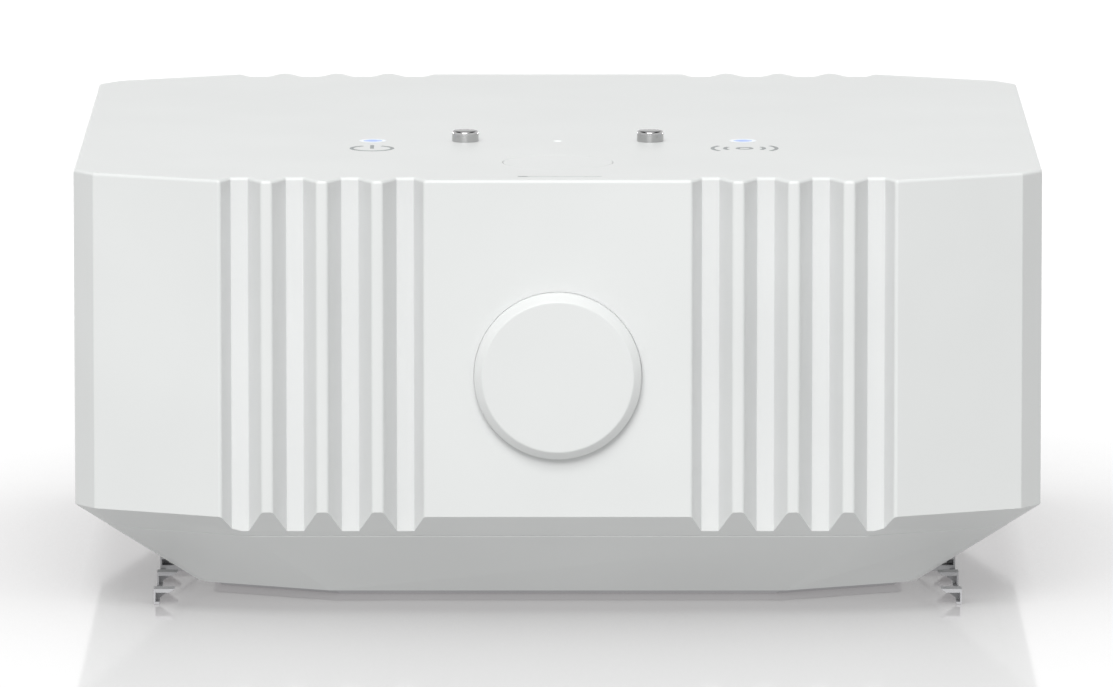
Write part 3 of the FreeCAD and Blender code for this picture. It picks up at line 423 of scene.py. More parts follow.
@dataclass(frozen=True)
class MilkyAcrylic(Finish):
    """Moulded milky acrylic, with a faint painted glow that makes it look a little paler than the plastic
    round it.
    """

    colour: str
    shade: str
    haze_size: float = 1 * MM
    # Strength of the painted glow.
    glow: float = 0.3

    def surface(self, tree: Tree) -> Sockets:
        """Give the surface shader's values and links.

        Args:
            tree: The material's node tree.

        Returns:
            Socket names to values and links.
        """
        _, haze = self.mottle(tree, self.haze_size, self.shade, self.colour)
        return {"Base Color": haze, "Roughness": 0.2, "IOR": 1.49,
                "Emission Color": haze, "Emission Strength": self.glow}


@dataclass(frozen=True)
class PowderCoat(Finish):
    """Powder-coated steel sheet, sheared to shape after it was coated.

    The coat leaves a slight orange peel on the faces. Faces that lie level, above and below, are
    darkened with painted shade; upright faces and edges keep the plain colour.
    """

    # The sheet's own colour and its low tone, which show unshaded on upright faces and edges.
    edge: str
    edge_shade: str
    painted_face_shade: str
    peel_size: float
    peel_depth: float
    tone_size: float = 12 * MM
    sheen_range: Point2 = (0.42, 0.58)

    def surface(self, tree: Tree) -> Sockets:
        """Give the surface shader's values and links.

        Args:
            tree: The material's node tree.

        Returns:
            Socket names to values and links.
        """
        _, unshaded = self.mottle(tree, self.tone_size, self.edge_shade, self.edge)
        peel = grain(tree, self.peel_size, 1.0)
        smooth, dull = self.sheen_range
        sheen = add_node(tree, "ShaderNodeMapRange", inputs={"Value": peel, "To Min": smooth, "To Max": dull})
        bump = add_node(tree, "ShaderNodeBump", inputs={
            "Height": peel, "Distance": self.peel_depth, "Strength": 0.6})
        # Painted shade on every face that lies level, above and below.
        return {"Base Color": level_tint(tree, unshaded, self.painted_face_shade, both_ways=True),
                "Roughness": sheen.outputs["Result"], "Normal": bump.outputs["Normal"]}


@dataclass(frozen=True)
class SolderMask(Finish):
    """Green solder mask over copper tracks on glass epoxy.

    The tracks under the mask show as slightly lighter, slightly raised lines on a grid.
    """

    colour: str
    track: str
    track_pitch: float
    track_depth: float = 0.03 * MM

    def surface(self, tree: Tree) -> Sockets:
        """Give the surface shader's values and links.

        Args:
            tree: The material's node tree.

        Returns:
            Socket names to values and links.
        """
        place = add_node(tree, "ShaderNodeTexCoord")
        tracks = add_node(tree, "ShaderNodeTexBrick", inputs={
            "Vector": place.outputs["Object"], "Scale": 1.0 / (4 * self.track_pitch), "Mortar Size": 0.03,
            "Color1": linear_colour(self.colour), "Color2": linear_colour(self.colour),
            "Mortar": linear_colour(self.track)})
        bump = add_node(tree, "ShaderNodeBump", inputs={
            "Height": tracks.outputs["Fac"], "Distance": self.track_depth, "Strength": 0.5})
        return {"Base Color": tracks.outputs["Color"], "Roughness": 0.35, "Normal": bump.outputs["Normal"]}


@dataclass(frozen=True)
class PrintedInk(Finish):
    """Pad-printed ink, thin and matt, with slightly uneven cover."""

    colour: str
    thin: str
    cover_size: float = 0.3 * MM
    cover_range: Point2 = (0.25, 0.55)

    def surface(self, tree: Tree) -> Sockets:
        """Give the surface shader's values and links.

        Args:
            tree: The material's node tree.

        Returns:
            Socket names to values and links.
        """
        cover = add_node(tree, "ShaderNodeValToRGB", inputs={"Fac": grain(tree, self.cover_size)},
                         stops=tuple(zip(self.cover_range, (self.thin, self.colour))))
        return {"Base Color": cover.outputs["Color"], "Roughness": 0.6}


# The housing's white, with painted shade in its narrow recesses.
WHITE_ASA = MouldedPlastic("asa_white_moulded", "EEF0EF", "EBEDEC", 0.42, 0.22 * MM, 0.006 * MM,
                           recess_painted_shade="F4F3F4")
# Each kind of finish in the order in which the materials are made.
FINISHES: dict[str, Finish] = {
    # Satin white, with painted shade darkening the grooves; the tray is the same plastic without that shade,
    # as it has no grooves.
    "white": WHITE_ASA,
    "tray": MouldedPlastic("asa_white_tray", "EEF0EF", "EBEDEC", 0.42, 0.22 * MM, 0.006 * MM),
    # The cap comes from a smoother mould and shines a little more.
    "cap": MouldedPlastic("asa_white_cap", "EDEFEE", "EAECEB", 0.38, 0.2 * MM, 0.005 * MM),
    # Soft rubber, matt and even.
    "silicone": MouldedPlastic("silicone_grey_moulded", "767A7C", "6C7072", 0.7, 0.3 * MM, 0.01 * MM,
                               ior=1.42),
    # Bright sheet and wire with fine tool marks.
    "steel": Metal("stainless_steel_stamped", "C9C9CA", "B9B9BB", 0.3, 0.2 * MM, 0.004 * MM),
    # Dull black, with the glass fill showing as a faint grain.
    "nylon": MouldedPlastic("nylon_black_moulded", "232426", "1C1D1F", 0.5, 0.3 * MM, 0.01 * MM),
    "board": SolderMask("solder_mask_green", "14553A", "1F6B49", 1.27 * MM),
    # Matt black resin.
    "chip": MouldedPlastic("epoxy_black_moulded", "1B1B1C", "151516", 0.6, 0.15 * MM, 0.01 * MM),
    # Bright, warm contact springs.
    "gold": Metal("gold_plated_bronze_stamped", "DDBB6A", "CFA955", 0.25, 0.2 * MM, 0.004 * MM),
    # Glossy, with the phosphor showing yellow.
    "lamp": MouldedPlastic("resin_lamp_clear_yellow", "F4EFC6", "EAE3B0", 0.25, 0.2 * MM, 0.002 * MM),
    # Shrunk film, smooth with broad faint waves.
    "cell": MouldedPlastic("pvc_sleeve_blue", "2C5488", "264A79", 0.3, 1.2 * MM, 0.02 * MM),
    "capacitor": MouldedPlastic("pet_sleeve_dark", "2A2D36", "23262E", 0.3, 1.0 * MM, 0.02 * MM),
    # Pressed fibres, fully matt.
    "membrane": MouldedPlastic("ptfe_membrane_porous", "F2F2EF", "E4E4E0", 0.85, 0.15 * MM, 0.03 * MM),
    # Milky window, with a faint painted glow.
    "window": MilkyAcrylic("acrylic_milky_moulded", "F6F9F9", "F1F5F5"),
    # Pale grey sheet, with painted shade on its level faces.
    "plate": PowderCoat("steel_plate_powder_coated", "C6C6C8", "BFBFC1", "BCBCBC", 0.5 * MM, 0.02 * MM),
    "ink": PrintedInk("ink_grey_pad_printed", "A1A5A6", "B7BBBB"),
    # Polished sides that mirror the face, and a top darkened with painted shade for a dark reflection.
    "pin": Metal("nickel_plated_brass_turned", "BABABA", "B0B0B0", 0.14, 0.15 * MM, 0.002 * MM,
                 painted_dark_top="505052"),
    # The seam's line: painted shade, a pale grey strip standing for the shade in a fine seam.
    "seam": PrintedInk("pale_painted_seam_shade", "CACECD", "D2D5D4"),
}


def neighbours(points: Sequence[Point2], index: int) -> tuple[Vector, Vector, Vector]:
    """Give a corner of a closed outline with the ways to its neighbours.

    Args:
        points: The outline.
        index: The corner's number.

    Returns:
        The corner, and unit vectors from it to the corner before and to the corner after.
    """
    here = Vector(points[index])
    before = (Vector(points[index - 1]) - here).normalized()
    after = (Vector(points[(index + 1) % len(points)]) - here).normalized()
    return here, before, after


def rounded_outline(points: Sequence[Point2], radii: dict[Bend, float], steps: int) -> list[Point2]:
    """Replace each corner of a closed outline with an arc.

    Args:
        points: The outline's corners in order, counter-clockwise.
        radii: Radius of the arcs at outward and at inward corners.
        steps: How many straight pieces each arc has.

    Returns:
        The outline with its arcs.
    """
    rounded = []
    for index in range(len(points)):
        here, before, after = neighbours(points, index)
        opening = math.acos(max(-1.0, min(1.0, before.dot(after))))
        turn = math.pi - opening
        if turn < math.radians(STRAIGHT_DEGREES):
            rounded.append(tuple(here))
            continue
        bend = Bend.OUTWARD if before.x * after.y - before.y * after.x < 0 else Bend.INWARD
        reach = radii[bend] / math.tan(opening / 2)
        centre = here + (before + after).normalized() * (radii[bend] / math.sin(opening / 2))
        start = here + before * reach - centre
        for step in range(steps + 1):
            angle = bend.value * turn * step / steps
            c, s = math.cos(angle), math.sin(angle)
            rounded.append((centre.x + start.x * c - start.y * s, centre.y + start.x * s + start.y * c))
    return rounded


def shifted_outline(points: Sequence[Point2], inset: float) -> list[Point2]:
    """Move a closed counter-clockwise outline in by a distance.

    Args:
        points: The outline.
        inset: How far each side moves towards the inside.

    Returns:
        The moved outline, with as many points.
    """
    moved = []
    for index in range(len(points)):
        here, before, after = neighbours(points, index)
        normal = Vector((after.y - before.y, before.x - after.x)).normalized()
        share = normal.dot(Vector((after.y, -after.x)))
        moved.append(tuple(here - normal * (inset / max(share, SHARPEST_CORNER))))
    return moved


def stacked_mesh(layers: Sequence[tuple[Sequence[Point2], float]]) -> Solid:
    """Join outlines at rising heights into a closed solid.

    Args:
        layers: Outline and height pairs, every outline with as many points.

    Returns:
        The solid.
    """
    mesh = bmesh.new()
    rings = [[mesh.verts.new((x, y, z)) for x, y in outline] for outline, z in layers]
    count = len(rings[0])
    for low, high in zip(rings, rings[1:]):
        for index in range(count):
            following = (index + 1) % count
            mesh.faces.new((low[index], low[following], high[following], high[index]))
    mesh.faces.new(rings[0][::-1])
    mesh.faces.new(rings[-1])
    bmesh.ops.recalc_face_normals(mesh, faces=mesh.faces)
    return mesh


def lathe_mesh(profile: Sequence[Point2], steps: int, place: Placing) -> Solid:
    """Turn a profile round an axis into a closed solid.

    Args:
        profile: Radius and height pairs from one end of the axis to the other.
        steps: How many pieces a full turn has.
        place: Gives the point for a radius, an angle and a height.

    Returns:
        The solid.
    """
    mesh = bmesh.new()
    rings = []
    for radius, height in profile:
        if radius <= 0:
            rings.append([mesh.verts.new(place(0.0, 0.0, height))])
            continue
        rings.append([mesh.verts.new(place(radius, 2 * math.pi * i / steps, height)) for i in range(steps)])
    for low, high in zip(rings, rings[1:]):
        for index in range(steps):
            following = (index + 1) % steps
            corners = []
            for vertex in (low[index % len(low)], low[following % len(low)],
                           high[following % len(high)], high[index % len(high)]):
                if vertex not in corners:
                    corners.append(vertex)
            mesh.faces.new(corners)
    bmesh.ops.recalc_face_normals(mesh, faces=mesh.faces)
    return mesh


def upright(x: float, y: float) -> Placing:
    """Place lathe points round an upright axis."""
    return lambda radius, angle, height: Vector(
        (x + radius * math.cos(angle), y + radius * math.sin(angle), height))


def endwise(x: float, z: float) -> Placing:
    """Place lathe points round an axis along Y."""
    return lambda radius, angle, height: Vector(
        (x + radius * math.cos(angle), height, z + radius * math.sin(angle)))


def rounded_profile(points: Sequence[Point2], radii: Sequence[float], steps: int) -> list[Point2]:
    """Round the first corners of an open profile.

    Args:
        points: Radius and height pairs.
        radii: The rounding at each of the first points, zero for none; the others stay sharp.
        steps: How many straight pieces each rounding has.

    Returns:
        The profile with its roundings.
    """
    result = []
    for index, point in enumerate(points):
        radius = radii[index] if index < len(radii) else 0.0
        if radius <= 0:
            result.append(point)
            continue
        here = Vector(point)
        before = (Vector(points[index - 1]) - here).normalized() * radius
        after = (Vector(points[index + 1]) - here).normalized() * radius
        for step in range(steps + 1):
            share = step / steps
            spot = here + before * (1 - share) ** 2 + after * share ** 2
            result.append((spot.x, spot.y))
    return result


def add_arc(mesh: Solid, centre: Point2, radius: float, stroke: float, turn: Point2,
            levels: Point2) -> None:
    """Add one flat, thin arc.

    Args:
        mesh: Where it is added.
        centre: The arc's centre in plan.
        radius: The radius of its middle line.
        stroke: The line's width.
        turn: First and last angle in degrees.
        levels: Height of its underside and of its top.
    """
    start, end = turn
    low_z, high_z = levels
    fewest_steps, degrees_per_step, full_turn = 6, 4, 359.9
    steps = max(fewest_steps, int(abs(end - start) / degrees_per_step))
    inner = radius - stroke / 2
    outer = radius + stroke / 2
    rows = []
    for step in range(steps + 1):
        angle = math.radians(start + (end - start) * step / steps)
        c, s = math.cos(angle), math.sin(angle)
        rows.append([mesh.verts.new((centre[0] + reach * c, centre[1] + reach * s, z))
                     for reach, z in ((inner, low_z), (outer, low_z), (outer, high_z), (inner, high_z))])
    for low, high in zip(rows, rows[1:]):
        for index in range(4):
            following = (index + 1) % 4
            mesh.faces.new((low[index], low[following], high[following], high[index]))
    if abs(end - start) < full_turn:
        mesh.faces.new(rows[0][::-1])
        mesh.faces.new(rows[-1])
    bmesh.ops.remove_doubles(mesh, verts=mesh.verts, dist=SAME_PLACE)


def shade(piece: Piece, sharp_degrees: float) -> None:
    """Shade an object smooth, with its sharp edges kept."""
    piece.data.shade_smooth()
    piece.data.set_sharp_from_angle(angle=math.radians(sharp_degrees))


def show(name: str, data: bpy.types.Mesh, sharp_degrees: float = SMALL_SHARP_DEGREES) -> Piece:
    """Put a mesh into the scene, smooth but for its sharp edges.

    Args:
        name: The object's name.
        data: Its mesh.
        sharp_degrees: Edges that turn by more stay sharp.

    Returns:
        The object.
    """
    piece = bpy.data.objects.new(name, data)
    bpy.context.scene.collection.objects.link(piece)
    shade(piece, sharp_degrees)
    return piece


def put(name: str, mesh: Solid) -> Piece:
    """Make an object of a mesh under construction, which is freed.

    Args:
        name: The object's name.
        mesh: Its mesh.

    Returns:
        The object.
    """
    data = bpy.data.meshes.new(name)
    mesh.to_mesh(data)
    mesh.free()
    return show(name, data)


def combine(piece: Piece, tool: Piece, cut: Cut) -> None:
    """Cut a piece with a tool, which is then removed.

    Args:
        piece: What is changed.
        tool: The other solid.
        cut: What the tool does.
    """
    modifier = piece.modifiers.new("combine", "BOOLEAN")
    modifier.operation = cut.value
    modifier.solver = "EXACT"
    modifier.object = tool
    depsgraph = bpy.context.evaluated_depsgraph_get()
    made = bpy.data.meshes.new_from_object(piece.evaluated_get(depsgraph))
    piece.modifiers.clear()
    old = piece.data
    piece.data = made
    made.name = piece.name
    bpy.data.meshes.remove(old)
    bpy.data.objects.remove(tool)


def weigh_normals(piece: Piece) -> None:
    """Keep large flat faces flat beside small rounded ones."""
    modifier = piece.modifiers.new("even_flats", "WEIGHTED_NORMAL")
    modifier.keep_sharp = True


def dress(piece: Piece, material: Material) -> None:
    """Give a piece one material."""
    piece.data.materials.clear()
    piece.data.materials.append(material)


def settle(piece: Piece, material: Material, body: str, node: str = "") -> Piece:
    """Dress a piece and tell the frame where it belongs.

    Args:
        piece: The piece, with its final shape.
        material: Its material.
        body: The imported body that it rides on.
        node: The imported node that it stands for, if any.

    Returns:
        The piece.
    """
    dress(piece, material)
    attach(piece, body)
    if node:
        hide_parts(node)
    return piece


def turned(name: str, profile: Sequence[Point2], radii: Sequence[float], place: Placing, steps: int,
           edge_steps: int = 4) -> Piece:
    """Turn a piece on a lathe, with rounded edges.

    Args:
        name: The object's name.
        profile: Radius and height pairs from one end of the axis to the other.
        radii: The rounding at each of the profile's first points.
        place: Gives the point for a radius, an angle and a height.
        steps: How many pieces a full turn has.
        edge_steps: How many straight pieces each rounding has.

    Returns:
        The piece.
    """
    piece = put(name, lathe_mesh(rounded_profile(profile, radii, edge_steps), steps, place))
    weigh_normals(piece)
    return piece


@dataclass
class BlockShape:
    """The sensor's outline in plan and how its tapered back stands in."""

    half_width: float = 44.0 * MM
    flat_y: float = 40.0 * MM
    flat_half: float = 30.5 * MM
    facet_end_x: float = 42.15 * MM
    facet_end_drop: float = 5.2 * MM
    corner_end_drop: float = 7.8 * MM
    foot_height: float = 8.87 * MM
    base_height: float = 0.55 * MM
    base_insets: Insets = (9.94 * MM, 13.0 * MM, 13.8 * MM, 11.0 * MM)

    def walls(self) -> list[tuple[Vector, float]]:
        """Give the four kinds of wall in the first quarter: flat, facet, corner and side.

        Returns:
            The outward normal and the distance from the middle of each.
        """
        facet_start = Vector((self.flat_half, self.flat_y))
        facet_end = Vector((self.facet_end_x, self.flat_y - self.facet_end_drop))
        corner_end = Vector((self.half_width, self.flat_y - self.corner_end_drop))
        found = [(Vector((0.0, 1.0)), self.flat_y)]
        for start, end in ((facet_start, facet_end), (facet_end, corner_end)):
            along = (end - start).normalized()
            normal = Vector((-along.y, along.x))
            found.append((normal, normal.dot(start)))
        found.append((Vector((1.0, 0.0)), self.half_width))
        return found

    def outline(self, insets: Sequence[float] = (0.0, 0.0, 0.0, 0.0)) -> list[Point2]:
        """Give the twelve-sided outline, counter-clockwise.

        Args:
            insets: How far the flat, the facet, the corner and the side stand in.

        Returns:
            The outline's corners.
        """
        moved = [(normal, reach - inset) for (normal, reach), inset in zip(self.walls(), insets)]
        quarter = []
        for (n, a), (m, b) in zip(moved, moved[1:]):
            turn = n.x * m.y - n.y * m.x
            quarter.append(((a * m.y - n.y * b) / turn, (n.x * b - a * m.x) / turn))
        upper = quarter[::-1] + [(-x, y) for x, y in quarter]
        return upper + [(-x, -y) for x, y in upper]

    def taper_insets(self, height: float) -> list[float]:
        """Give how far each kind of wall stands in at a height of the tapered back."""
        share = (self.foot_height - height) / (self.foot_height - self.base_height)
        return [inset * share for inset in self.base_insets]

    def taper_planes(self) -> list[tuple[Vector, Vector]]:
        """Give the slanted faces of the back.

        Returns:
            A point and the outward normal of each.
        """
        planes = []
        drop = self.foot_height - self.base_height
        same_way = 1e-6
        for (normal, reach), inset in zip(self.walls(), self.base_insets):
            for sx in (1, -1):
                for sy in (1, -1):
                    out = Vector((normal.x * sx, normal.y * sy, 0.0))
                    slanted = (out * drop + Vector((0.0, 0.0, -inset))).normalized()
                    spot = out * reach + Vector((0.0, 0.0, self.foot_height))
                    if all((slanted - other).length > same_way for _, other in planes):
                        planes.append((spot, slanted))
        return planes


@dataclass
class RoundOpening:
    """A round opening with a slightly eased mouth, and a narrower bore behind it if it has one."""

    radius: float
    mouth: float
    floor: float
    place: Placing
    easing: float
    steps: int
    bore_radius: float = 0.0
    bore_end: float = 0.0
    overshoot: float = 0.6 * MM

    def solid(self) -> Solid:
        """Make the solid that cuts the opening.

        Returns:
            The solid.
        """
        outward = 1.0 if self.mouth > self.floor else -1.0
        profile = [
            (0.0, self.mouth + outward * self.overshoot),
            (self.radius + self.easing + self.overshoot, self.mouth + outward * self.overshoot),
            (self.radius + self.easing, self.mouth),
            (self.radius, self.mouth - outward * self.easing),
            (self.radius, self.floor),
        ]
        if self.bore_radius > 0:
            profile += [(self.bore_radius, self.floor), (self.bore_radius, self.bore_end),
                        (0.0, self.bore_end)]
        else:
            profile.append((0.0, self.floor))
        return lathe_mesh(profile, self.steps, self.place)


@dataclass
class HousingShell:
    """The front housing: face, grooved end walls, facets and the openings in them."""

    shape: BlockShape
    openings: Sequence[RoundOpening]
    groove_first_x: float = 13.8 * MM
    groove_pitch: float = 5.0 * MM
    groove_count: int = 4
    groove_floor: float = 1.56 * MM
    groove_depth: float = 1.9 * MM
    ridge_proud: float = 0.6 * MM
    ridge_crest: float = 0.97 * MM
    end_flank: float = 0.92 * MM
    outward_edge: float = 0.34 * MM
    inward_edge: float = 0.12 * MM
    face_edge_radius: float = 0.32 * MM
    foot_step: float = 0.025 * MM
    edge_steps: int = 5
    parting_height: float = 6.834 * MM
    roof_thickness: float = 2.2 * MM
    cavity_insets: Insets = (3.9 * MM, 4.5 * MM, 4.7 * MM, 4.1 * MM)

    def end_wall(self) -> list[Point2]:
        """Give the right half of the upper end wall in plan.

        Returns:
            Its corners, from the facet to the middle flat.
        """
        flat = self.shape.flat_y
        points = [(self.groove_first_x - self.groove_floor / 2 - self.end_flank, flat)]
        for index in range(self.groove_count):
            centre = self.groove_first_x + index * self.groove_pitch
            points.append((centre - self.groove_floor / 2, flat - self.groove_depth))
            points.append((centre + self.groove_floor / 2, flat - self.groove_depth))
            if index < self.groove_count - 1:
                ridge = centre + self.groove_pitch / 2
                points.append((ridge - self.ridge_crest / 2, flat + self.ridge_proud))
                points.append((ridge + self.ridge_crest / 2, flat + self.ridge_proud))
        points.append((self.shape.flat_half, flat))
        return points[::-1]

    def plan(self) -> list[Point2]:
        """Give the whole grooved outline with rounded edges.

        Returns:
            The outline, counter-clockwise.
        """
        right = self.shape.outline()[:2] + self.end_wall()
        upper = right + [(-x, y) for x, y in right[::-1]]
        radii = {Bend.OUTWARD: self.outward_edge, Bend.INWARD: self.inward_edge}
        return rounded_outline(upper + [(-x, -y) for x, y in upper], radii, self.edge_steps)

    def outside(self) -> Solid:
        """Make the closed outer solid with a rolled face edge and the tapered foot.

        Returns:
            The solid.
        """
        plan = self.plan()
        layers = [(plan, self.parting_height)]
        for step in range(self.edge_steps + 1):
            angle = math.pi / 2 * step / self.edge_steps
            inset = self.face_edge_radius * (1 - math.cos(angle))
            height = FACE_HEIGHT - self.face_edge_radius * (1 - math.sin(angle))
            layers.append((shifted_outline(plan, inset), height))
        mesh = stacked_mesh(layers)
        for spot, normal in self.shape.taper_planes():
            geometry = mesh.verts[:] + mesh.edges[:] + mesh.faces[:]
            bmesh.ops.bisect_plane(mesh, geom=geometry, dist=SAME_PLACE, plane_no=normal,
                                   plane_co=spot - normal * self.foot_step, clear_outer=True)
            rim = [edge for edge in mesh.edges if edge.is_boundary]
            bmesh.ops.holes_fill(mesh, edges=rim, sides=0)
        bmesh.ops.recalc_face_normals(mesh, faces=mesh.faces)
        return mesh

    def build(self, materials: Materials) -> list[Piece]:
        """Make the housing, cut its openings and dress it.

        Args:
            materials: The material for each kind of finish.

        Returns:
            The housing.
        """
        shell = put("front_housing_shell", self.outside())
        inside = self.shape.outline(self.cavity_insets)
        cavity = stacked_mesh([(inside, 0.0), (inside, FACE_HEIGHT - self.roof_thickness)])
        combine(shell, put("cavity_tool", cavity), Cut.TAKE_AWAY)
        for opening in self.openings:
            combine(shell, put("opening_tool", opening.solid()), Cut.TAKE_AWAY)
        shade(shell, SHELL_SHARP_DEGREES)
        weigh_normals(shell)
        return [settle(shell, materials["white"], "root", "front_housing")]


@dataclass
class RearTray:
    """The rear cover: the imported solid, trimmed so that its outer edges are eased."""

    shape: BlockShape
    parting_height: float = 6.82 * MM
    easing: float = 0.13 * MM
    trim: float = 0.004 * MM
    tongue_step: float = 0.02 * MM
    tongue_room: Insets = (4.0 * MM, 4.6 * MM, 4.8 * MM, 4.2 * MM)
    tongue_top: float = 11.27 * MM

    def envelope(self) -> Solid:
        """Make the space that the eased cover fills.

        Returns:
            The space as a solid.
        """
        layers = []
        for height, extra in ((self.shape.base_height, 0.0), (self.parting_height - self.easing, 0.0),
                              (self.parting_height, self.easing)):
            insets = [inset + extra + self.trim for inset in self.shape.taper_insets(height)]
            layers.append((self.shape.outline(insets), height))
        for height in (self.parting_height + self.tongue_step, self.tongue_top):
            layers.append((self.shape.outline(self.tongue_room), height))
        return stacked_mesh(layers)

    def build(self, materials: Materials) -> list[Piece]:
        """Make the cover and dress it.

        Args:
            materials: The material for each kind of finish.

        Returns:
            The cover.
        """
        tray = show("rear_cover_tray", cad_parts["rear_cover"].data.copy())
        combine(tray, put("envelope_tool", self.envelope()), Cut.KEEP_INSIDE)
        shade(tray, SHELL_SHARP_DEGREES)
        weigh_normals(tray)
        return [settle(tray, materials["tray"], "root", "rear_cover")]


@dataclass
class EndButton:
    """The round button on the lower end wall, and the soft ring behind it."""

    radius: float = 7.58 * MM
    thickness: float = 2.1 * MM
    centre_z: float = 21.87 * MM
    chamfer: float = 0.72 * MM
    edge: float = 0.12 * MM
    gap: float = 0.015 * MM
    easing: float = 0.03 * MM
    wall_y: float = -40.0 * MM
    recess_floor: float = -38.1 * MM
    stem_radius: float = 3.0 * MM
    stem_clearance: float = 0.08 * MM
    bore_end: float = -35.0 * MM
    pocket_inner: float = 3.3 * MM
    pocket_outer: float = 5.5 * MM
    pocket_depth: float = 1.0 * MM
    travel: float = 1.0 * MM
    ring_node: str = "side_button_seal"
    steps: int = 128

    def opening(self) -> RoundOpening:
        """Give the recess and bore in the end wall.

        Returns:
            The opening.
        """
        return RoundOpening(self.radius + self.gap, self.wall_y, self.recess_floor,
                            endwise(0.0, self.centre_z), self.easing, self.steps,
                            bore_radius=self.stem_radius + self.stem_clearance, bore_end=self.bore_end)

    def cap(self, material: Material) -> Piece:
        """Make the cap with its stem and dress it.

        Args:
            material: The cap's material.

        Returns:
            The cap.
        """
        low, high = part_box("side_button_cap")
        face = low.y
        back = face + self.thickness
        pocket = back - self.pocket_depth
        profile = [
            (0.0, face), (self.radius - self.chamfer, face), (self.radius, face + self.chamfer),
            (self.radius, back), (self.pocket_outer, back), (self.pocket_outer, pocket),
            (self.pocket_inner, pocket), (self.pocket_inner, back),
            (self.stem_radius, back), (self.stem_radius, high.y), (0.0, high.y),
        ]
        cap = turned("end_button_cap", profile, (0.0, self.edge, self.edge, self.edge),
                     endwise(0.0, self.centre_z), self.steps)
        return settle(cap, material, "side_button", "side_button_cap")

    def ring(self, material: Material) -> Piece:
        """Make the soft ring, dress it and give it a mesh of its own.

        Args:
            material: The ring's material.

        Returns:
            The ring.
        """
        ring = show("end_button_ring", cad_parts[self.ring_node].data.copy())
        settle(ring, material, "root", self.ring_node)
        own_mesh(ring)
        return ring

    def build(self, materials: Materials) -> list[Piece]:
        """Make the button."""
        return [self.cap(materials["cap"]), self.ring(materials["silicone"])]


@dataclass
class FaceButton:
    """The small flush button in the face."""

    radius: float = 5.0 * MM
    centre_y: float = -27.3 * MM
    gap: float = 0.04 * MM
    easing: float = 0.04 * MM
    edge: float = 0.05 * MM
    flange_radius: float = 6.0 * MM
    flange_top: float = 37.42 * MM
    flange_foot: float = 36.52 * MM
    stem_radius: float = 2.0 * MM
    hole_floor: float = 36.97 * MM
    steps: int = 96

    def opening(self) -> RoundOpening:
        """Give the hole in the face, which ends inside the hollow housing."""
        return RoundOpening(self.radius + self.gap, FACE_HEIGHT, self.hole_floor, upright(0.0, self.centre_y),
                            self.easing, self.steps)

    def build(self, materials: Materials) -> list[Piece]:
        """Make the cap with its flange and stem and dress it.

        Args:
            materials: The material for each kind of finish.

        Returns:
            The cap.
        """
        low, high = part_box("top_button_cap")
        profile = [
            (0.0, high.z), (self.radius, high.z), (self.radius, self.flange_top),
            (self.flange_radius, self.flange_top), (self.flange_radius, self.flange_foot),
            (self.stem_radius, self.flange_foot), (self.stem_radius, low.z), (0.0, low.z),
        ]
        cap = turned("face_button_cap", profile, (0.0, self.edge), upright(0.0, self.centre_y), self.steps)
        return [settle(cap, materials["white"], "top_button", "top_button_cap")]


@dataclass
class LeakPins:
    """The two metal contacts that stand out of the face."""

    nodes: tuple[str, str] = ("leak_pin_left", "leak_pin_right")
    head_edge: float = 0.26 * MM
    foot_groove: float = 0.03 * MM
    shank_radius: float = 0.9 * MM
    steps: int = 64
    edge_steps: int = 6

    def build(self, materials: Materials) -> list[Piece]:
        """Make both pins with a rounded head and a fine groove at the foot of the head.

        Args:
            materials: The material for each kind of finish.

        Returns:
            The pins.
        """
        pins = []
        for node in self.nodes:
            low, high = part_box(node)
            centre = (low + high) / 2
            radius = (high.x - low.x) / 2
            neck = radius - self.foot_groove
            profile = [
                (0.0, high.z), (radius, high.z), (radius, FACE_HEIGHT + 2 * self.foot_groove),
                (neck, FACE_HEIGHT + self.foot_groove), (neck, FACE_HEIGHT),
                (self.shank_radius, FACE_HEIGHT), (self.shank_radius, low.z), (0.0, low.z),
            ]
            pin = turned(node + "_turned", profile, (0.0, self.head_edge), upright(centre.x, centre.y),
                         self.steps, self.edge_steps)
            pins.append(settle(pin, materials["pin"], "root", node))
        return pins


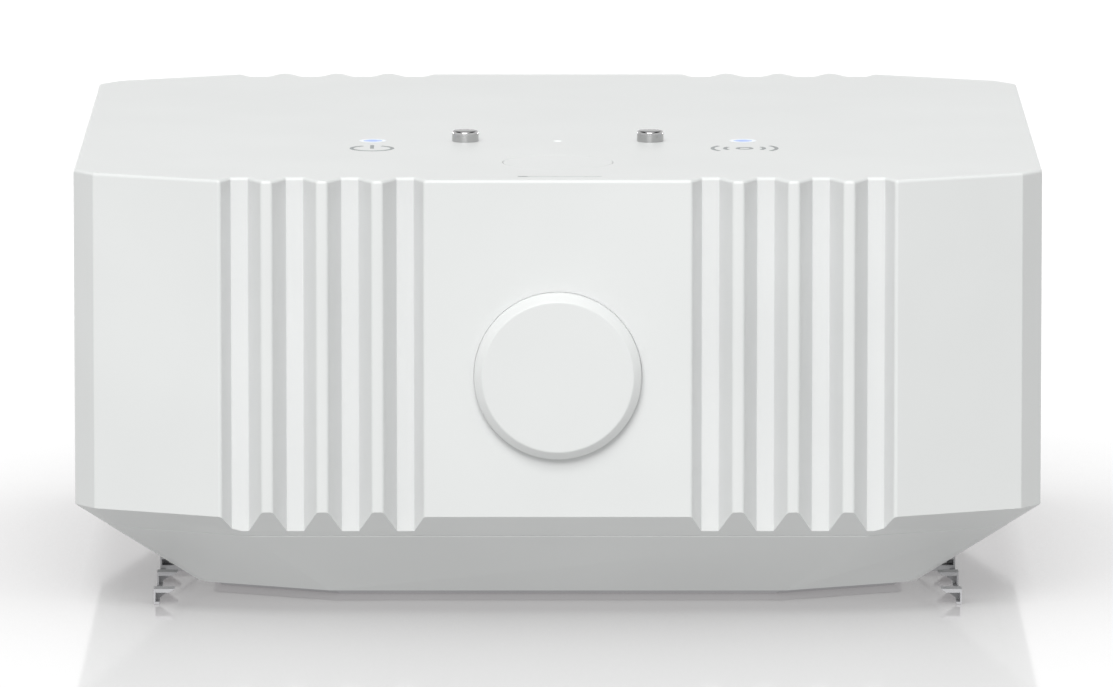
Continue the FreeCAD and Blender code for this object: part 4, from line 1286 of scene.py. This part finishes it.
@dataclass
class FacePrint:
    """The two generic icons, and the short seam on the face drawn as painted shade."""

    film: float = 0.012 * MM
    lift: float = 0.004 * MM
    stroke: float = 0.35 * MM
    icon_y: float = -17.3 * MM
    power_x: float = -17.1 * MM
    power_radius: float = 1.88 * MM
    power_gap_degrees: float = 27.0
    power_bar: Point2 = (-0.15 * MM, 2.3 * MM)
    link_x: float = 17.18 * MM
    link_ring_radius: float = 0.65 * MM
    link_arcs: tuple[Point2, ...] = ((1.8 * MM, 32.0), (2.95 * MM, 37.0))
    seam_x: float = 0.18 * MM
    seam_y: float = -37.7 * MM
    seam_half: float = 3.8 * MM
    seam_sag: float = 0.12 * MM
    seam_stroke: float = 0.1 * MM
    seam_mark: float = 0.9 * MM

    def levels(self, layer: int = 0) -> Point2:
        """Give the underside and top of a film of ink, the first on the face, the next on the first."""
        foot = FACE_HEIGHT + self.lift + layer * self.film
        return foot, foot + self.film

    def power_icon(self) -> Solid:
        """Make the power icon: a ring open at its top, with a bar in the opening.

        Returns:
            The icon's mesh.
        """
        mesh = bmesh.new()
        gap = self.power_gap_degrees
        add_arc(mesh, (self.power_x, self.icon_y), self.power_radius, self.stroke,
                (UP_DEGREES + gap, UP_DEGREES + 360 - gap), self.levels())
        low_y, high_y = (self.icon_y + end for end in self.power_bar)
        low_z, high_z = self.levels()
        for vertex in bmesh.ops.create_cube(mesh, size=1.0)["verts"]:
            vertex.co.x = self.power_x + self.stroke / 2 * (1 if vertex.co.x > 0 else -1)
            vertex.co.y = high_y if vertex.co.y > 0 else low_y
            vertex.co.z = high_z if vertex.co.z > 0 else low_z
        return mesh

    def link_icon(self) -> Solid:
        """Make the radio icon: a small ring between two pairs of waves.

        Returns:
            The icon's mesh.
        """
        mesh = bmesh.new()
        middle = (self.link_x, self.icon_y)
        add_arc(mesh, middle, self.link_ring_radius, self.stroke, (0, 360), self.levels())
        for radius, half in self.link_arcs:
            for towards in (0, 180):
                add_arc(mesh, middle, radius, self.stroke, (towards - half, towards + half), self.levels())
        return mesh

    def seam(self) -> tuple[Solid, Solid]:
        """Make the painted shade of the shallow curved seam, and darker painted shade over its left end.

        Returns:
            The seam's mesh and the mark's.
        """
        radius = (self.seam_half ** 2 + self.seam_sag ** 2) / (2 * self.seam_sag)
        pivot = (self.seam_x, self.seam_y + radius)
        first = DOWN_DEGREES - math.degrees(math.asin(self.seam_half / radius))
        line = bmesh.new()
        add_arc(line, pivot, radius, self.seam_stroke, (first, 2 * DOWN_DEGREES - first), self.levels())
        mark = bmesh.new()
        mark_end = first + math.degrees(self.seam_mark / radius)
        add_arc(mark, pivot, radius, 2 * self.seam_stroke, (first, mark_end), self.levels(1))
        return line, mark

    def build(self, materials: Materials) -> list[Piece]:
        """Make the icons and the seam and dress them.

        Args:
            materials: The material for each kind of finish.

        Returns:
            The printed pieces.
        """
        line, mark = self.seam()
        pieces = []
        # The seam and the mark over its end are painted shade, drawn with the pale and the grey ink.
        for name, mesh, ink in (("icon_power", self.power_icon(), "ink"),
                                ("icon_link", self.link_icon(), "ink"),
                                ("face_seam", line, "seam"), ("face_seam_end", mark, "ink")):
            bmesh.ops.recalc_face_normals(mesh, faces=mesh.faces)
            pieces.append(settle(put(name, mesh), materials[ink], "root"))
        return pieces


@dataclass
class CarriedNodes:
    """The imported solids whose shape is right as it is, each with its own finish."""

    finishes: dict[str, tuple[str, ...]] = field(default_factory=lambda: {
        "silicone": ("housing_gasket", "top_button_seal", "leak_pin_seals"),
        "steel": ("case_screws", "side_button_clip", "leak_pin_retainers", "board_screws", "radio_shield",
                  "cell_end_plates", "cell_springs"),
        "nylon": ("side_switch_body", "side_switch_plunger", "switch_board_header", "top_switch_body",
                  "top_switch_plunger", "battery_cradle", "climate_header"),
        "board": ("switch_board", "main_board", "climate_board"),
        "chip": ("processor", "climate_sensor", "light_sensor"),
        "gold": ("leak_pin_contacts", "radio_antenna"),
        "lamp": ("led_power", "led_link"),
        "cell": ("battery_cell_left", "battery_cell_right"),
        "capacitor": ("buffer_capacitor",),
        "membrane": ("vent_membrane",),
        "window": ("light_sensor_window",),
        "plate": ("wall_plate",),
    })

    def build(self, materials: Materials) -> list[Piece]:
        """Give every carried node its material.

        Args:
            materials: The material for each kind of finish.

        Returns:
            The nodes' objects.
        """
        pieces = []
        for kind, nodes in self.finishes.items():
            for node in nodes:
                dress(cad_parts[node], materials[kind])
                pieces.append(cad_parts[node])
        return pieces


@dataclass
class Indicators:
    """The two lit windows in the face with the glow round them, and the holes of all clear windows."""

    nodes: tuple[str, str] = ("light_pipe_power", "light_pipe_link")
    glow: str = "BACFFF"
    rim: str = "D8E2FF"
    radius: float = 0.875 * MM
    bleed: str = "CFE0FF"
    bleed_inner: float = 0.92 * MM
    bleed_outer: float = 1.3 * MM
    film: float = 0.004 * MM
    holes: tuple[tuple[str, float], ...] = (
        ("light_pipe_power", 0.9 * MM), ("light_pipe_link", 0.9 * MM), ("light_sensor_window", 0.38 * MM))
    hole_depth: float = 2.6 * MM
    hole_easing: float = 0.02 * MM
    hole_steps: int = 48

    def openings(self) -> list[RoundOpening]:
        """Give the hole of each window in the face.

        Returns:
            The openings.
        """
        made = []
        for node, radius in self.holes:
            low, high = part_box(node)
            centre = (low + high) / 2
            made.append(RoundOpening(radius, FACE_HEIGHT, FACE_HEIGHT - self.hole_depth,
                                     upright(centre.x, centre.y), self.hole_easing, self.hole_steps))
        return made

    def build(self, materials: Materials) -> list[Piece]:
        """Dress both light pipes with their own centred glow, and add the glow round them.

        Args:
            materials: The material for each kind of finish; not used.

        Returns:
            The light pipes and the rings of glow.
        """
        pieces = []
        for node in self.nodes:
            low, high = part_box(node)
            centre = ((low.x + high.x) / 2, (low.y + high.y) / 2)
            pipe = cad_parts[node]
            dress(pipe, LitAcrylic("acrylic_lit_" + node, self.glow, self.rim, centre, self.radius).build())
            mesh = bmesh.new()
            add_arc(mesh, centre, (self.bleed_inner + self.bleed_outer) / 2,
                    self.bleed_outer - self.bleed_inner, (0, 360),
                    (FACE_HEIGHT + self.film / 2, FACE_HEIGHT + self.film))
            bmesh.ops.recalc_face_normals(mesh, faces=mesh.faces)
            glow = BacklitPlastic("asa_backlit_" + node, WHITE_ASA.colour, self.bleed, centre,
                                  self.bleed_inner, self.bleed_outer)
            ring = settle(put(node + "_glow", mesh), glow.build(), "root")
            pieces += [pipe, ring]
        return pieces


@dataclass(frozen=True)
class Lamp:
    """One soft lamp that points at the sensor: its width and height in size, its power in watts."""

    name: str
    place: Point3
    size: Point2
    power: float
    aim: Point3 = (0.0, 0.0, 0.02)

    def build(self) -> None:
        """Hang the lamp."""
        data = bpy.data.lights.new(self.name, "AREA")
        data.shape = "RECTANGLE"
        data.size, data.size_y = self.size
        data.energy = self.power
        lamp = bpy.data.objects.new(self.name, data)
        lamp.location = self.place
        lamp.rotation_euler = (Vector(self.place) - Vector(self.aim)).to_track_quat("Z", "Y").to_euler()
        bpy.context.scene.collection.objects.link(lamp)


@dataclass
class Studio:
    """Pale floor, soft lamps and the camera at the photograph's angle.

    A wide key stands in front and above, and a weaker one overhead. Two low strips behind light the
    back and the sides, and lie under the face so that they leave it and the front alone.
    """

    lens: float = 402.7
    sensor_width: float = 36.0
    clip: Point2 = (0.01, 50.0)
    pitch_degrees: float = 8.1
    distance: float = 1125.0 * MM
    look_at: Point3 = (-0.12 * MM, -40.0 * MM, 24.77 * MM)
    floor_half: float = 6.0
    floor_gap: float = 0.02 * MM
    floor_bounce: float = 0.56
    floor_paint: str = "898989"
    lift_seen: str = "BFBFBF"
    lift_contact: str = "6C696A"
    shadow_reach: float = 80.0 * MM
    contact_start: float = 0.36
    contact_end: float = 1.0
    floor_roughness: float = 0.08
    floor_ior: float = 1.4
    ambient: float = 0.22
    ceiling: float = 0.03
    ceiling_start: float = 0.55
    ceiling_end: float = 0.72
    lamps: tuple[Lamp, ...] = (
        Lamp("key", (-0.2, -1.5, 1.3), (1.2, 1.2), 31.0),
        Lamp("overhead", (0.0, 0.15, 1.9), (1.4, 1.4), 9.2),
        Lamp("rear_left", (-0.86, 1.23, 0.02), (0.5, 0.03), 4.9),
        Lamp("rear_right", (0.86, 1.23, 0.02), (0.5, 0.03), 4.9),
    )

    def build(self) -> None:
        """Set up the whole studio."""
        self.build_camera()
        self.build_floor()
        self.build_world()
        for lamp in self.lamps:
            lamp.build()
        bpy.context.scene.view_settings.view_transform = "Standard"

    def build_camera(self) -> None:
        """Place the camera by its pitch and distance from the lower end wall."""
        data = bpy.data.cameras.new("camera")
        data.lens = self.lens
        data.sensor_width = self.sensor_width
        data.clip_start, data.clip_end = self.clip
        camera = bpy.data.objects.new("camera", data)
        pitch = math.radians(self.pitch_degrees)
        away = Vector((0.0, -math.cos(pitch), math.sin(pitch))) * self.distance
        camera.location = Vector(self.look_at) + away
        camera.rotation_euler = (math.pi / 2 - pitch, 0.0, 0.0)
        bpy.context.scene.collection.objects.link(camera)
        bpy.context.scene.camera = camera

    def seen_rays(self, tree: Tree) -> Wire:
        """Give one for rays that show the background, in view or in a reflection.

        Args:
            tree: The material's or world's node tree.

        Returns:
            The socket, which is zero for the rays that carry light.
        """
        rays = add_node(tree, "ShaderNodeLightPath")
        mirrored = add_node(tree, "ShaderNodeMath", {"operation": "MAXIMUM"}, {
            0: rays.outputs["Is Glossy Ray"], 1: rays.outputs["Is Transmission Ray"]})
        seen = add_node(tree, "ShaderNodeMath", {"operation": "MAXIMUM"}, {
            0: rays.outputs["Is Camera Ray"], 1: mirrored.outputs["Value"]})
        return seen.outputs["Value"]

    def build_floor(self) -> None:
        """Make the pale, slightly glossy floor, white in view but for a painted shadow near the sensor, with
        an even light thrown back up.

        It is clear from below, so that the sensor's underside can be looked at.
        """
        mesh = bmesh.new()
        bmesh.ops.create_grid(mesh, x_segments=1, y_segments=1, size=self.floor_half)
        bmesh.ops.translate(mesh, verts=mesh.verts, vec=(0.0, 0.0, -self.floor_gap))
        floor = put("floor", mesh)
        material, tree = new_material("floor_white_gloss")
        # Painted shadow: the floor's glow in view fades from the contact colour near the sensor to the seen
        # colour away from it.
        nearness = add_node(tree, "ShaderNodeAmbientOcclusion", {"samples": 16}, {
            "Distance": self.shadow_reach})
        glow = add_node(tree, "ShaderNodeValToRGB", inputs={"Fac": nearness.outputs["AO"]}, stops=(
            (self.contact_start, self.lift_contact), (self.contact_end, self.lift_seen)))
        shine = add_node(tree, "ShaderNodeBsdfPrincipled", inputs={
            "Base Color": linear_colour(self.floor_paint), "Roughness": self.floor_roughness,
            "IOR": self.floor_ior, "Emission Color": glow.outputs["Color"], "Emission Strength": 1.0})
        bounce = add_node(tree, "ShaderNodeEmission", inputs={
            "Color": LIGHT_WHITE, "Strength": self.floor_bounce})
        above = add_node(tree, "ShaderNodeMixShader", inputs={
            0: self.seen_rays(tree), 1: bounce.outputs["Emission"], 2: shine.outputs["BSDF"]})
        surface = add_node(tree, "ShaderNodeMixShader", inputs={
            0: add_node(tree, "ShaderNodeNewGeometry").outputs["Backfacing"], 1: above.outputs["Shader"],
            2: add_node(tree, "ShaderNodeBsdfTransparent").outputs["BSDF"]})
        add_node(tree, "ShaderNodeOutputMaterial", inputs={"Surface": surface.outputs["Shader"]})
        material.cycles.emission_sampling = "NONE"
        dress(floor, material)

    def build_world(self) -> None:
        """Light softly from all round, white in view, and with a darker ceiling in reflections."""
        world = bpy.data.worlds.new("studio")
        world.use_nodes = True
        tree = world.node_tree
        tree.nodes.clear()
        towards = add_node(tree, "ShaderNodeTexCoord")
        parts = add_node(tree, "ShaderNodeSeparateXYZ", inputs={"Vector": towards.outputs["Generated"]})
        ceiling = add_node(tree, "ShaderNodeMapRange", inputs={
            "Value": parts.outputs["Z"], "From Min": self.ceiling_start, "From Max": self.ceiling_end,
            "To Min": 1.0, "To Max": self.ceiling})
        rays = add_node(tree, "ShaderNodeLightPath")
        shown = add_node(tree, "ShaderNodeMix", inputs={
            0: rays.outputs["Is Glossy Ray"], 2: 1.0, 3: ceiling.outputs["Result"]})
        strength = add_node(tree, "ShaderNodeMix", inputs={
            0: self.seen_rays(tree), 2: self.ambient, 3: shown.outputs["Result"]})
        background = add_node(tree, "ShaderNodeBackground", inputs={
            "Color": LIGHT_WHITE, "Strength": strength.outputs["Result"]})
        add_node(tree, "ShaderNodeOutputWorld", inputs={"Surface": background.outputs["Background"]})
        bpy.context.scene.world = world


def main() -> None:
    """Build the studio, then each sub-assembly in order."""
    logging.basicConfig(level=logging.INFO)
    Studio().build()
    materials = {kind: finish.build() for kind, finish in FINISHES.items()}
    shape = BlockShape()
    end_button = EndButton()
    face_button = FaceButton()
    indicators = Indicators()
    openings = [end_button.opening(), face_button.opening(), *indicators.openings()]
    for assembly in (HousingShell(shape, openings), RearTray(shape), end_button, face_button, LeakPins(),
                     FacePrint(), CarriedNodes(), indicators):
        for piece in assembly.build(materials):
            LOG.info("piece %s in %s", piece.name, piece.data.materials[0].name)


if __name__ == "__main__":
    main()
